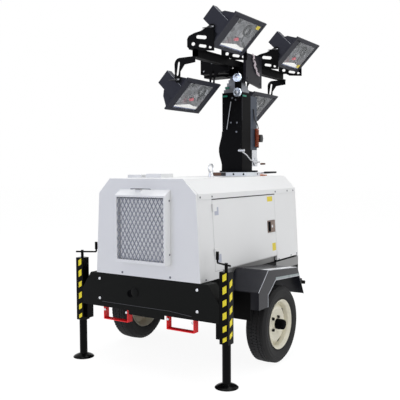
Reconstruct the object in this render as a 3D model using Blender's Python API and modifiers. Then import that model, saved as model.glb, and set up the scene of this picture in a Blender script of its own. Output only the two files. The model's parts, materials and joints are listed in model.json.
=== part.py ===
"""Mobile light tower: a single-axle trailer with a canopied generator and a turning telescopic lamp mast.

Metres, +Z up. The canopy's grille end faces -Y and the drawbar points to +Y. Lengths along Y are counted
from the canopy's grille end, and one empty then moves the whole tower so that its box is centred.
"""

import math

import bmesh
import bpy
from mathutils import Matrix, Vector

# Gaps and clearances
GAP = 0.0003
RUN_GAP = 0.0008
DOOR_GAP = 0.005
WELD = 0.004

# Canopy
BODY_LENGTH = 1.42
BODY_BOTTOM_Z = 0.615
BODY_HALF_WIDTH = 0.42
BODY_LEAN = 0.031
EAVES_Z = 1.154
ROOF_Z = 1.25
ROOF_CHAMFER = 0.095
WALL = 0.022
SHEET = 0.003
GUTTER_DROP = 0.034

# Doors: front and rear edge of the opening along Y, and its bottom and top
DOOR_FRONT_Y = 0.177
DOOR_REAR_Y = BODY_LENGTH - 0.37
DOOR_BOTTOM_Z = 0.662
HINGE_RADIUS = 0.007
HINGE_LENGTH = 0.05
HINGE_HEIGHTS = (0.76, 1.04)
LATCH_Y = DOOR_REAR_Y - 0.074
LATCH_Z = 0.885
LATCH_LENGTH = 0.12
LATCH_HEIGHT = 0.09
LATCH_DEPTH = 0.012
LATCH_SLACK = 0.0015

# Under each door the canopy's side is open, and the chassis shows a folded upstand behind the gap
SILL_END_Y = 0.27
REAR_SKIRT_Z = 0.627
UPSTAND_X = 0.388
UPSTAND_SHEET = 0.004
UPSTAND_TOP_Z = 0.672

# Lifting eye and roof covers, with columns: lowest x, lowest y, highest x, highest y, height
LIFT_EYE_Y = 0.79
LIFT_EYE_Z = 1.312
LIFT_EYE_RADIUS = 0.03
LIFT_EYE_BAR = 0.007
ROOF_COVERS = ((-0.34, 0.24, -0.22, 0.38, 0.022), (-0.18, 0.24, -0.05, 0.38, 0.028))

# Power unit: half width, front y, rear y and top z of the engine and of the generator
ENGINE = (0.23, 0.18, 0.60, 1.05)
GENERATOR = (0.19, 0.595, 0.96, 0.98)
RADIATOR_REAR_Y = WALL + 0.06

# Air outlet grille on the canopy's front
GRILLE_HALF_WIDTH = 0.20
GRILLE_BOTTOM_Z = 0.71
GRILLE_TOP_Z = 1.145
GRILLE_HOOD_Z = 1.182
GRILLE_PROUD = 0.06
GRILLE_RIM = 0.012
GRILLE_SILL = 0.02
MESH_COLUMNS = 7
MESH_ROWS = 8
MESH_STRAND = 0.004
MESH_SHEET = 0.004
MESH_SETBACK = 0.006

# Chassis
RAIL_TOP_Z = BODY_BOTTOM_Z - GAP
RAIL_BOTTOM_Z = 0.40
RAIL_WIDTH = 0.05
RAIL_SHEET = 0.006
CROSS_DEPTH = 0.06
TRAY_SHEET = 0.004

# Front beam that carries the jacks
BEAM_TOP_Z = 0.612
BEAM_BOTTOM_Z = 0.385
BEAM_DEPTH = 0.10
BEAM_SHEET = 0.005
BEAM_TOP_HALF = 0.475
BEAM_SHOULDER_Z = 0.50
FRONT_CROSS_Y = BEAM_DEPTH + GAP + CROSS_DEPTH / 2
REAR_CROSS_Y = BODY_LENGTH - CROSS_DEPTH / 2
PORT_X = -0.09
PORT_Z = 0.51
PORT_RADIUS = 0.029
BEAM_LIP_HALF = 0.145
BEAM_LIP_Z = 0.358

# Fork guards: two straps of flat bar under the front beam, and two in line with them under a cross member
GUARD_STRAP = 0.006
GUARD_WIDTH = 0.21
GUARD_DEPTH = 0.05
GUARD_X = 0.2625
GUARD_BOTTOM_Z = 0.30
FRONT_GUARD_Y = 0.03
REAR_GUARD_Y = 0.515

# Wheels and axle
AXLE_Y = 0.647
TYRE_RADIUS = 0.26
TYRE_WIDTH = 0.145
TRACK_HALF = 0.577
RIM_RADIUS = 0.166
HUB_RADIUS = 0.034
HUB_REACH = 0.022
STUB_RADIUS = 0.018
STUB_END_X = TRACK_HALF - TYRE_WIDTH / 2 + 0.015
ARM_EYE_RADIUS = 0.032
AXLE_TUBE = 0.06
AXLE_TUBE_SETBACK = 0.14
ARM_SHEET = 0.018
WHEEL_SIDES = 24

# Fenders
FENDER_OUTER_X = 0.66
FENDER_SHEET = 0.004
FENDER_SKIRT_X = 0.60
GUARD_PANEL_BOTTOM_Z = 0.35
FENDER_OUTLINE = ((0.30, 0.533), (0.433, 0.657), (0.876, 0.617), (0.985, 0.415))  # columns: y, z
SKIRT_INSIDE = ((0.904, 0.5555), (0.534, 0.579), (0.426, 0.4965), (0.426, 0.42))
SKIRT_FRONT = ((0.30, 0.42),)

# Jacks
JACK_X = 0.583
JACK_Y = 0.032
JACK_SIDE = 0.062
JACK_WALL = 0.004
JACK_TOP_Z = 0.70
JACK_BOTTOM_Z = 0.265
LEG_RADIUS = 0.0265
LEG_TOP_Z = 0.44
FOOT_RADIUS = 0.0725
FOOT_HEIGHT = 0.022
# radius, z
FOOT_DOME = ((0.0465, 0.018), (0.0645, 0.009), (FOOT_RADIUS, 0.004), (FOOT_RADIUS, 0.0), (0.0, 0.0))
CRANK_Z = 0.739
CRANK_REACH = (0.0895, 0.0453)  # columns: inward along X, back along Y
CRANK_TAIL = 0.44
GRIP_HEIGHT = 0.065
CRANK_BAR = 0.0065
PARK_JACK_X = 0.16
PARK_JACK_Y = BODY_LENGTH + 0.05
PARK_TUBE_RADIUS = 0.03
PARK_LEG_RADIUS = 0.0255
PARK_LEG_TOP_Z = LEG_TOP_Z - 0.08
PARK_TUBE_BOTTOM_Z = 0.20
PARK_TUBE_TOP_Z = 0.62
PARK_CRANK_REACH = 0.106

# Drawbar
HITCH_Y = BODY_LENGTH + 0.08
HITCH_Z = 0.455
DRAWBAR_WIDTH = 0.06
DRAWBAR_HEIGHT = 0.06
DRAWBAR_LENGTH = 0.935
DRAWBAR_SLOPE = math.radians(15.0)
EYE_RADIUS = 0.045
EYE_THICKNESS = 0.03
LUG_SHEET = 0.01
LUG_RADIUS = 0.038
LUG_MARGIN = 0.04
PIN_RADIUS = 0.011
PIN_END = 0.012

# Mast
MAST_Y = BODY_LENGTH - 0.215
MAST_HALF_X = 0.09
COLUMN_FRONT_Y = MAST_Y - 0.10
COLUMN_DEPTH = 0.135
MAST_TOP_Z = 1.90
MAST_BOTTOM_Z = 0.42
SECTION_WALL = 0.004
SECTION_STEP = 0.009
SECTION_RISE = 0.026
SECTION_COUNT = 5
SHOE_HEIGHT = 0.06
BACK_DEPTH = 0.112
BACK_POST_BOTTOM_Z = 1.457
BACK_POST_TOP_Z = 1.45
BASE_SIDE = 0.30
BASE_HEIGHT = 0.03
COLLAR_RADIUS = 0.14
CHEEK_SHEET = 0.006
CHEEK_BULGE = 0.03
CHEEK_HEIGHT = 0.35
CHEEK_RIGHT_TOP_Z = 1.68
WINCH_Z = 1.36
WINCH_CRANK = ((0.088, 0, 0), (0.122, 0, 0), (0.130, 0.012, 0), (0.132, 0.10, 0.0), (0.132, 0.17, 0.015),
               # columns: x, forward, up
               (0.132, 0.235, 0.055), (0.132, 0.30, 0.078), (0.132, 0.345, 0.085))
WINCH_CRANK_BAR = 0.006
WINCH_GRIP = 0.045
PULLEY_RADIUS = 0.034
PULLEY_WIDTH = 0.02
PULLEY_X = 0.057
PULLEY_Z = (1.897, 2.011)

# Head
HEAD_BEAM_X = 0.03
HEAD_BEAM_Z = 2.115
HEAD_BEAM_SIDE = 0.05
HEAD_BEAM_HALF = 0.68
HEAD_Y = MAST_Y + 0.02
HEAD_BLOCK_X = (-0.07, 0.088)
HEAD_BLOCK_Y = (-0.1025, 0.13)
JUNCTION_X = (-0.24, -0.06)
JUNCTION_Y = (-0.1525, -0.0125)
JUNCTION_Z = (2.025, 2.13)
HEAD_PLATE_SHEET = 0.024
HEAD_PLATE = ((-0.10, 1.99), (0.16, 1.95), (0.16, 2.20), (-0.10, 2.20))
LAMP_SPACING = 0.49

# Floodlights. Sections are in the lamp's own frame: back from the glass, and up from its lower edge
LAMP_WIDTH = 0.44
LAMP_HEIGHT = 0.29
LAMP_TILT = math.radians(45.0)
LAMP_WALL = 0.004
LAMP_RIM = 0.012
LAMP_CENTRES = {"upper": (0.278, 2.245), "lower": (-0.112, 1.84)}  # columns: x, z of the glass
LAMP_PIVOTS = {"upper": (0.0785, -0.042), "lower": (0.058, 0.082)}  # columns: back, up
# columns: back, share of height
LAMP_BACK_CURVE = ((0.041, 0.88), (0.087, 0.70), (0.112, 0.45), (0.12, 0.20))
GEAR_BACK = 0.183
GEAR_LOW = -0.05
GEAR_HIGH = 0.065
STIRRUP_SHEET = 0.006
STIRRUP_CLEARANCE = 0.006
# columns: x, z
UPPER_ARM_FOOT = ((-0.015, 0.018), (0.005, 0.0), (0.056, 0.0), (0.09, -0.018), (0.205, -0.03))
UPPER_ARM_TOP = ((0.099, 0.115), (0.044, 0.107), (-0.001, 0.092), (-0.015, 0.072))  # columns: x, z
UPPER_ARM_SLOTS = (  # columns: x and z of one end, x and z of the other, half width
    (0.07, 0.078, 0.135, 0.066, 0.012), (0.03, 0.034, 0.04, 0.032, 0.012),
    (0.09, 0.016, 0.135, 0.006, 0.010),
    (0.17, -0.002, 0.178, -0.004, 0.009),
)

# The tower's box runs from the grille's front to the tow eye's tip
EYE_TIP_Y = (HITCH_Y + (DRAWBAR_LENGTH + EYE_RADIUS) * math.cos(DRAWBAR_SLOPE)
             + EYE_THICKNESS / 2 * math.sin(DRAWBAR_SLOPE))
CENTRE_Y = (EYE_TIP_Y - GRILLE_PROUD) / 2

# Finishes. Columns: red, green, blue, roughness, metallic
FINISHES = {
    "canopy_white": (0.80, 0.81, 0.83, 0.35, 0.0),
    "frame_black": (0.03, 0.03, 0.035, 0.45, 0.0),
    "fender_grey": (0.07, 0.07, 0.085, 0.5, 0.0),
    "lamp_grey": (0.045, 0.047, 0.055, 0.45, 0.0),
    "guard_red": (0.70, 0.02, 0.02, 0.4, 0.0),
    "jack_black": (0.02, 0.02, 0.022, 0.4, 0.0),
    "rim_cream": (0.72, 0.69, 0.60, 0.4, 0.0),
    "tyre_rubber": (0.02, 0.02, 0.02, 0.85, 0.0),
    "steel_zinc": (0.55, 0.56, 0.58, 0.35, 1.0),
    "mast_steel": (0.30, 0.32, 0.36, 0.4, 0.9),
    "mesh_grey": (0.62, 0.63, 0.66, 0.4, 0.6),
    "lamp_glass": (0.9, 0.92, 0.95, 0.05, 0.0),
    "pulley_blue": (0.45, 0.62, 0.80, 0.4, 0.0),
}

PARTS = "mobile_light_tower"
HELPERS = "helpers"


def clear_scene():
    """Remove every object, so that the script gives the same result each time."""
    for thing in list(bpy.data.objects):
        bpy.data.objects.remove(thing)


def collection(name, rendered=True):
    """A collection of this name in the scene, made when it isn't there yet."""
    found = bpy.data.collections.get(name)
    if found is None:
        found = bpy.data.collections.new(name)
        bpy.context.scene.collection.children.link(found)
        found.hide_render = not rendered
    return found


def finish(name):
    """The Principled material of a finish."""
    found = bpy.data.materials.get(name)
    if found is None:
        red, green, blue, roughness, metallic = FINISHES[name]
        found = bpy.data.materials.new(name)
        found.use_nodes = True
        shader = found.node_tree.nodes["Principled BSDF"]
        shader.inputs["Base Color"].default_value = (red, green, blue, 1.0)
        shader.inputs["Roughness"].default_value = roughness
        shader.inputs["Metallic"].default_value = metallic
    return found


def add(name, data):
    """A new object that holds this mesh or curve, in the collection of parts."""
    thing = bpy.data.objects.new(name, data)
    collection(PARTS).objects.link(thing)
    return thing


def mesh_from(name, build):
    """An object whose mesh build(bm) makes with bmesh operations."""
    mesh = bpy.data.meshes.new(name)
    bm = bmesh.new()
    build(bm)
    bmesh.ops.recalc_face_normals(bm, faces=bm.faces)
    bm.to_mesh(mesh)
    bm.free()
    return add(name, mesh)


def settle(thing):
    """Turn a curve or an object with modifiers into a plain closed mesh that sits at the origin."""
    bpy.context.view_layer.update()
    graph = bpy.context.evaluated_depsgraph_get()
    mesh = bpy.data.meshes.new_from_object(thing.evaluated_get(graph))
    mesh.transform(thing.matrix_world)
    bm = bmesh.new()
    bm.from_mesh(mesh)
    bmesh.ops.remove_doubles(bm, verts=bm.verts, dist=0.00001)
    bmesh.ops.recalc_face_normals(bm, faces=bm.faces)
    if bm.calc_volume(signed=True) < 0:
        bmesh.ops.reverse_faces(bm, faces=bm.faces)
    bm.to_mesh(mesh)
    bm.free()
    name = thing.name
    bpy.data.objects.remove(thing)
    return add(name, mesh)


def combine(target, others, operation="UNION", solver="EXACT"):
    """Join other solids to the target, or cut them out of it, and remove them."""
    for other in others:
        collection(HELPERS, rendered=False).objects.link(other)
        collection(PARTS).objects.unlink(other)
        other.hide_render = True
        other.display_type = "WIRE"
        step = target.modifiers.new(operation.title(), "BOOLEAN")
        step.operation = operation
        step.solver = solver
        step.object = other
    settled = settle(target)
    for other in others:
        bpy.data.objects.remove(other)
    return settled


def box(name, low, high):
    """A block between two corners."""
    size = [b - a for a, b in zip(low, high)]
    centre = [(a + b) / 2 for a, b in zip(low, high)]
    place = Matrix.Translation(centre) @ Matrix.Diagonal((*size, 1))
    return mesh_from(name, lambda bm: bmesh.ops.create_cube(bm, size=1, matrix=place))


def rod(name, start, end, radius, sides=16, end_radius=None):
    """A round bar, or a cone when end_radius is given, between two points."""
    start, end = Vector(start), Vector(end)
    turn = (end - start).to_track_quat("Z", "Y").to_matrix().to_4x4()
    place = Matrix.Translation((start + end) / 2) @ turn
    far = radius if end_radius is None else end_radius
    return mesh_from(
        name,
        lambda bm: bmesh.ops.create_cone(
            bm, cap_ends=True, segments=sides, radius1=radius, radius2=far,
            depth=(end - start).length, matrix=place,
        ),
    )


def prism(name, axis, low, high, *loops):
    """A flat outline, with holes where loops lie inside it, extruded along an axis.

    A loop's points are (y, z) for axis X, (x, z) for axis Y and (x, y) for axis Z.
    """
    curve = bpy.data.curves.new(name, "CURVE")
    curve.dimensions = "2D"
    curve.fill_mode = "BOTH"
    curve.extrude = (high - low) / 2
    for loop in loops:
        spline = curve.splines.new("POLY")
        spline.points.add(len(loop) - 1)
        for point, (u, v) in zip(spline.points, loop):
            point.co = (u, v, 0, 1)
        spline.use_cyclic_u = True
    middle = (low + high) / 2
    columns = {
        "X": ((0, 1, 0), (0, 0, 1), (1, 0, 0), (middle, 0, 0)),
        "Y": ((1, 0, 0), (0, 0, 1), (0, -1, 0), (0, middle, 0)),
        "Z": ((1, 0, 0), (0, 1, 0), (0, 0, 1), (0, 0, middle)),
    }[axis]
    thing = add(name, curve)
    thing.matrix_world = Matrix([(*row, last) for row, last in zip(zip(*columns[:3]), columns[3])]).to_4x4()
    return settle(thing)


def rectangle(u_low, v_low, u_high, v_high):
    """The loop of a rectangle."""
    return [(u_low, v_low), (u_high, v_low), (u_high, v_high), (u_low, v_high)]


def arc(centre, radius, start, end, steps):
    """Points on an arc, with its angles in degrees."""
    turns = [math.radians(start + (end - start) * i / steps) for i in range(steps + 1)]
    return [(centre[0] + radius * math.cos(a), centre[1] + radius * math.sin(a)) for a in turns]


def pipe(name, points, radius, resolution=2):
    """A round bar bent along points."""
    curve = bpy.data.curves.new(name, "CURVE")
    curve.dimensions = "3D"
    curve.bevel_depth = radius
    curve.bevel_resolution = resolution
    curve.use_fill_caps = True
    spline = curve.splines.new("POLY")
    spline.points.add(len(points) - 1)
    for point, place in zip(spline.points, points):
        point.co = (*place, 1)
    return settle(add(name, curve))


def turned(name, profile, centre, axis="Z", sides=32):
    """A turned solid. The profile's (radius, height) points run from top to bottom."""
    mesh = bpy.data.meshes.new(name)
    bm = bmesh.new()
    chain = [bm.verts.new((radius, 0, height)) for radius, height in profile]
    for upper, lower in zip(chain, chain[1:]):
        bm.edges.new((upper, lower))
    bm.to_mesh(mesh)
    bm.free()
    thing = add(name, mesh)
    step = thing.modifiers.new("Turn", "SCREW")
    step.steps = step.render_steps = sides
    step.use_merge_vertices = True
    step.merge_threshold = 0.00001
    turn = {"Z": Matrix.Identity(4), "X": Matrix.Rotation(math.pi / 2, 4, "Y"),
            "-X": Matrix.Rotation(-math.pi / 2, 4, "Y"), "Y": Matrix.Rotation(-math.pi / 2, 4, "X")}[axis]
    thing.matrix_world = Matrix.Translation(centre) @ turn
    return settle(thing)


def lean(thing):
    """Tip a piece of the canopy's side inwards, as much at each height as the canopy's side leans."""
    for vertex in thing.data.vertices:
        rise = (vertex.co.z - BODY_BOTTOM_Z) / (EAVES_Z - BODY_BOTTOM_Z)
        vertex.co.x -= math.copysign(BODY_LEAN * rise, vertex.co.x)
    return thing


def side_x(z):
    """The canopy side's outer face at a height."""
    return BODY_HALF_WIDTH - BODY_LEAN * (z - BODY_BOTTOM_Z) / (EAVES_Z - BODY_BOTTOM_Z)


def joint_axis(name, place, parent):
    """An empty on a joint's axis, which carries the pieces that move with it."""
    thing = bpy.data.objects.new(name, None)
    collection(PARTS).objects.link(thing)
    thing.parent = parent
    thing.matrix_parent_inverse = parent.matrix_world.inverted()
    thing.location = place
    bpy.context.view_layer.update()
    return thing


def dress(thing, name, colour, carrier):
    """Name a finished piece, give it its finish and shading, and hang it on what carries it."""
    thing.name = name
    thing.data.name = name
    thing.data.materials.clear()
    thing.data.materials.append(finish(colour))
    thing.data.shade_smooth()
    thing.data.set_sharp_from_angle(angle=math.radians(30))
    thing.parent = carrier
    thing.matrix_parent_inverse = carrier.matrix_world.inverted()
    return thing


def drawbar_lugs():
    """The plate, lugs and pin at the rear of the chassis that the drawbar hinges on."""
    half = DRAWBAR_WIDTH / 2
    lugs = [box("lug_plate", (-half - LUG_MARGIN, BODY_LENGTH - WELD, RAIL_BOTTOM_Z + 0.005),
                (half + LUG_MARGIN, BODY_LENGTH + LUG_SHEET, RAIL_TOP_Z - 0.02))]
    for side in (-1, 1):
        low, high = sorted((side * (half + RUN_GAP), side * (half + RUN_GAP + LUG_SHEET)))
        tip = arc((HITCH_Y, HITCH_Z), LUG_RADIUS, -90, 90, 8)
        root = [(BODY_LENGTH + WELD, RAIL_TOP_Z - 0.04), (BODY_LENGTH + WELD, RAIL_BOTTOM_Z + 0.01)]
        lugs.append(prism("lug", "X", low, high, tip + root))
    end = half + LUG_SHEET + PIN_END
    return lugs + [rod("pin", (-end, HITCH_Y, HITCH_Z), (end, HITCH_Y, HITCH_Z), PIN_RADIUS, 16)]


def chassis(tower):
    """Two folded side rails, cross members, the floor tray and the lower side panels, welded into one."""
    pieces = []
    outer_x = BODY_HALF_WIDTH - 0.002
    inner_x = outer_x - RAIL_WIDTH
    for side in (-1, 1):
        channel = [
            (side * x, z) for x, z in (
                (outer_x, RAIL_BOTTOM_Z), (outer_x, RAIL_TOP_Z), (inner_x, RAIL_TOP_Z),
                (inner_x, RAIL_TOP_Z - RAIL_SHEET), (outer_x - RAIL_SHEET, RAIL_TOP_Z - RAIL_SHEET),
                (outer_x - RAIL_SHEET, RAIL_BOTTOM_Z + RAIL_SHEET), (inner_x, RAIL_BOTTOM_Z + RAIL_SHEET),
                (inner_x, RAIL_BOTTOM_Z),
            )
        ]
        pieces.append(prism("rail", "Y", FRONT_CROSS_Y - CROSS_DEPTH / 4, BODY_LENGTH, channel))
        low_x, high_x = sorted((side * (outer_x - RAIL_SHEET / 2), side * (FENDER_SKIRT_X - GAP)))
        panel_y = FENDER_OUTLINE[0][0]
        pieces.append(box("panel", (low_x, panel_y, GUARD_PANEL_BOTTOM_Z),
                          (high_x, panel_y + RAIL_SHEET, FENDER_OUTLINE[0][1] - FENDER_SHEET - GAP)))
        low_x, high_x = sorted((side * UPSTAND_X, side * (UPSTAND_X - UPSTAND_SHEET)))
        pieces.append(box("upstand", (low_x, DOOR_FRONT_Y + 0.02, RAIL_TOP_Z - RAIL_SHEET / 2),
                          (high_x, BODY_LENGTH - WALL - 0.005, UPSTAND_TOP_Z)))
    for y in (FRONT_CROSS_Y, REAR_GUARD_Y, AXLE_Y + AXLE_TUBE_SETBACK, REAR_CROSS_Y):
        pieces.append(box("cross", (-outer_x + RAIL_SHEET / 2, y - CROSS_DEPTH / 2,
                                    RAIL_BOTTOM_Z + 0.001),
                          (outer_x - RAIL_SHEET / 2, y + CROSS_DEPTH / 2,
                           RAIL_TOP_Z - RAIL_SHEET + 0.001)))
    tray_low = RAIL_TOP_Z - RAIL_SHEET - 0.001
    pieces.append(box("tray", (-inner_x - 0.003, FRONT_CROSS_Y, tray_low),
                      (inner_x + 0.003, BODY_LENGTH - 0.01, tray_low + TRAY_SHEET)))
    frame = combine(pieces[0], pieces[1:] + drawbar_lugs())
    hole = rod("mast_hole", (0, MAST_Y, 0), (0, MAST_Y, 1), COLLAR_RADIUS, 24)
    frame = combine(frame, [hole], "DIFFERENCE")
    dress(frame, "chassis_frame", "frame_black", tower)


def front_beam(tower):
    """The folded beam between the front jacks: a shallow tray, open behind, with cut-off top corners."""
    half = JACK_X - JACK_SIDE / 2 - GAP
    face = [(-half, BEAM_BOTTOM_Z), (half, BEAM_BOTTOM_Z), (half, BEAM_SHOULDER_Z),
            (BEAM_TOP_HALF, BEAM_TOP_Z),
            (-BEAM_TOP_HALF, BEAM_TOP_Z), (-half, BEAM_SHOULDER_Z)]
    t = BEAM_SHEET
    inside = [(-half + t, BEAM_BOTTOM_Z + t), (half - t, BEAM_BOTTOM_Z + t),
              (half - t, BEAM_SHOULDER_Z - t / 2),
              (BEAM_TOP_HALF - t / 2, BEAM_TOP_Z - t), (-BEAM_TOP_HALF + t / 2, BEAM_TOP_Z - t),
              (-half + t, BEAM_SHOULDER_Z - t / 2)]
    beam = prism("beam", "Y", 0.0, BEAM_DEPTH, face)
    beam = combine(beam, [prism("hollow", "Y", t, BEAM_DEPTH + 1, inside)], "DIFFERENCE")
    port = turned("port", [(0, 0.012), (PORT_RADIUS * 0.6, 0.012), (PORT_RADIUS, 0.006),
                           (PORT_RADIUS, -0.002),
                           (0, -0.002)], (PORT_X, 0, PORT_Z), "Y", 20)
    for vertex in port.data.vertices:
        vertex.co.y = -vertex.co.y
    port.data.flip_normals()
    lip = box("lip", (-BEAM_LIP_HALF, 0.0, BEAM_LIP_Z), (BEAM_LIP_HALF, t, BEAM_BOTTOM_Z + t / 2))
    dress(combine(beam, [port, lip]), "front_beam", "frame_black", tower)


def strap_loop(centre, width, top, bottom, strap):
    """The outline of a U-shaped strap that hangs from a face at z = top."""
    u0, u1 = centre - width / 2, centre + width / 2
    return [(u0, top), (u0 + strap, top), (u0 + strap, bottom + strap), (u1 - strap, bottom + strap),
            (u1 - strap, top), (u1, top), (u1, bottom), (u0, bottom)]


def fork_guards(tower):
    """Red straps that make two fork pockets, each with a strap at the front beam and one farther back."""
    rows = (("front", FRONT_GUARD_Y, BEAM_BOTTOM_Z - GAP), ("rear", REAR_GUARD_Y, RAIL_BOTTOM_Z - GAP))
    for row, y, top in rows:
        for letter, side in (("l", -1), ("r", 1)):
            loop = strap_loop(side * GUARD_X, GUARD_WIDTH, top, GUARD_BOTTOM_Z, GUARD_STRAP)
            guard = prism("guard", "Y", y - GUARD_DEPTH / 2, y + GUARD_DEPTH / 2, loop)
            dress(guard, f"fork_guard_{row}_{letter}", "guard_red", tower)


def axle(tower):
    """The axle tube under the rails, with a trailing arm and a stub for each wheel."""
    tube_y = AXLE_Y + AXLE_TUBE_SETBACK
    high = RAIL_BOTTOM_Z - GAP
    pieces = [box("tube", (-BODY_HALF_WIDTH, tube_y - AXLE_TUBE / 2, high - AXLE_TUBE),
                  (BODY_HALF_WIDTH, tube_y + AXLE_TUBE / 2, high))]
    tube_z = high - AXLE_TUBE / 2
    slope = math.degrees(math.atan2(TYRE_RADIUS - tube_z, AXLE_Y - tube_y))
    for side in (-1, 1):
        eye = arc((AXLE_Y, TYRE_RADIUS), ARM_EYE_RADIUS, slope - 90, slope + 90, 8)
        root = arc((tube_y, tube_z), AXLE_TUBE / 2 - RUN_GAP, slope + 90, slope + 270, 8)
        low, high_x = sorted((side * (BODY_HALF_WIDTH - 0.005), side * (BODY_HALF_WIDTH + ARM_SHEET)))
        pieces.append(prism("arm", "X", low, high_x, eye + root))
        pieces.append(rod("stub", (side * BODY_HALF_WIDTH, AXLE_Y, TYRE_RADIUS),
                          (side * STUB_END_X, AXLE_Y, TYRE_RADIUS), STUB_RADIUS, 16))
    dress(combine(pieces[0], pieces[1:]), "axle", "frame_black", tower)


def wheels(tower):
    """Two tyres on pressed steel rims with protruding hub caps, each pair free to turn on the axle stub."""
    half = TYRE_WIDTH / 2
    bead = RIM_RADIUS - 0.008
    section = [
        (bead, 0.050), (RIM_RADIUS + 0.006, 0.060), (RIM_RADIUS + 0.035, half),
        (TYRE_RADIUS - 0.030, half - 0.003),
        (TYRE_RADIUS - 0.010, half - 0.014), (TYRE_RADIUS - 0.002, half - 0.028), (TYRE_RADIUS, 0.0),
    ]
    lower = [(r, -h) for r, h in reversed(section[:-1])]
    tyre_profile = section + lower + [section[0]]
    seat = bead - GAP
    bore = STUB_RADIUS + RUN_GAP
    bore_depth = STUB_END_X + 0.004 - TRACK_HALF
    inner_hub = -half + 0.012
    rim_profile = [
        (0, half + HUB_REACH), (HUB_RADIUS * 0.75, half + HUB_REACH),
        (HUB_RADIUS, half + HUB_REACH - 0.008),
        (HUB_RADIUS, 0.026), (0.072, 0.020), (0.104, 0.034), (seat - 0.012, 0.012),
        (seat - 0.010, 0.046), (seat - 0.001, 0.0575), (RIM_RADIUS - 0.001, 0.0665),
        (RIM_RADIUS + 0.001, 0.0625),
        (seat, 0.0515), (seat, -0.0515), (RIM_RADIUS + 0.001, -0.0625),
        (RIM_RADIUS - 0.001, -0.0665), (seat - 0.001, -0.0575), (seat - 0.006, -0.046),
        (seat - 0.016, 0.006),
        (0.104, 0.028), (0.074, 0.014), (0.040, 0.016), (0.040, inner_hub), (bore, inner_hub),
        (bore, bore_depth), (0, bore_depth),
    ]
    for letter, side in (("l", -1), ("r", 1)):
        centre = (side * TRACK_HALF, AXLE_Y, TYRE_RADIUS)
        spin = joint_axis(f"wheel_axis_{letter}", centre, tower)
        axis = "X" if side > 0 else "-X"
        dress(turned("tyre", tyre_profile, centre, axis, WHEEL_SIDES), f"tyre_{letter}", "tyre_rubber",
              spin)
        dress(turned("rim", rim_profile, centre, axis, WHEEL_SIDES), f"wheel_rim_{letter}", "rim_cream",
              spin)


def fenders(tower):
    """Folded sheet fenders, each with a skirt along its outer edge."""
    for letter, side in (("l", -1), ("r", 1)):
        outline = list(FENDER_OUTLINE)
        lower = [(y, z - FENDER_SHEET) for y, z in outline]
        lower[0] = (outline[0][0] + FENDER_SHEET * 0.4, outline[0][1] - FENDER_SHEET)
        lower[-1] = (outline[-1][0] - FENDER_SHEET * 1.1, outline[-1][1])
        inner, outer = BODY_HALF_WIDTH + GAP, FENDER_OUTER_X
        low, high = sorted((side * inner, side * outer))
        top = prism("top", "X", low, high, outline + lower[::-1])
        tuck = FENDER_SHEET / 4
        skirt = [(y + tuck, z - tuck) for y,
                 z in outline[:-2]] + [(outline[-2][0] - tuck, outline[-2][1] - tuck)]
        skirt += list(SKIRT_INSIDE) + [(y + tuck, z) for y, z in SKIRT_FRONT]
        low, high = sorted((side * (outer - FENDER_SHEET), side * (outer - tuck)))
        band = prism("band", "X", low, high, skirt)
        front_y, front_z = FENDER_OUTLINE[0]
        low, high = sorted((side * FENDER_SKIRT_X, side * (outer - 2 * tuck)))
        apron = box("apron", (low, front_y + tuck * 0.5, SKIRT_FRONT[0][1] + tuck),
                    (high, front_y + FENDER_SHEET * 1.2, front_z - tuck))
        dress(combine(top, [band, apron], solver="MANIFOLD"), f"fender_{letter}", "fender_grey", tower)


def jack_leg(x, y, radius, top_z):
    """A round leg on a domed foot disc."""
    return turned("leg", [(0, top_z), (radius, top_z), (radius, FOOT_HEIGHT), *FOOT_DOME], (x, y, 0), "Z",
                  20)


def front_jacks(tower):
    """Square jack tubes on the front beam's ends, with round legs that slide in them and hand cranks."""
    half = JACK_SIDE / 2
    bore = half - JACK_WALL
    for letter, side in (("l", -1), ("r", 1)):
        x = side * JACK_X
        outer = rectangle(x - half, JACK_Y - half, x + half, JACK_Y + half)
        inner = rectangle(x - bore, JACK_Y - bore, x + bore, JACK_Y + bore)
        tube = prism("tube", "Z", JACK_BOTTOM_Z, JACK_TOP_Z - JACK_WALL + 0.001, outer, inner)
        cap = box("cap", (x - half, JACK_Y - half, JACK_TOP_Z - JACK_WALL),
                  (x + half, JACK_Y + half, JACK_TOP_Z))
        low, high = sorted((x - side * (half - 0.002), x - side * (half + 0.038)))
        bracket = box("bracket", (low, JACK_Y - 0.01, JACK_BOTTOM_Z + 0.02),
                      (high, JACK_Y + half, BEAM_BOTTOM_Z - GAP))
        inward, back = -side * CRANK_REACH[0], CRANK_REACH[1]
        shaft = rod("shaft", (x, JACK_Y, JACK_TOP_Z - 0.002), (x, JACK_Y, CRANK_Z + 0.012), 0.010, 12)
        arm = pipe("arm", [(x - inward * CRANK_TAIL, JACK_Y - back * CRANK_TAIL, CRANK_Z),
                           (x, JACK_Y, CRANK_Z),
                           (x + inward * 0.96, JACK_Y + back * 0.96, CRANK_Z),
                           (x + inward, JACK_Y + back, CRANK_Z + 0.006),
                           (x + inward, JACK_Y + back, CRANK_Z + GRIP_HEIGHT)], CRANK_BAR, 1)
        grip = rod("grip", (x + inward, JACK_Y + back, CRANK_Z + 0.018),
                   (x + inward, JACK_Y + back, CRANK_Z + GRIP_HEIGHT + 0.004), 0.010, 12)
        tube = combine(tube, [cap, bracket, shaft, arm, grip])
        dress(tube, f"jack_tube_{letter}", "jack_black", tower)
        slide = joint_axis(f"jack_axis_{letter}", (x, JACK_Y, 0), tower)
        dress(jack_leg(x, JACK_Y, LEG_RADIUS, LEG_TOP_Z), f"jack_leg_{letter}", "jack_black", slide)


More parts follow.
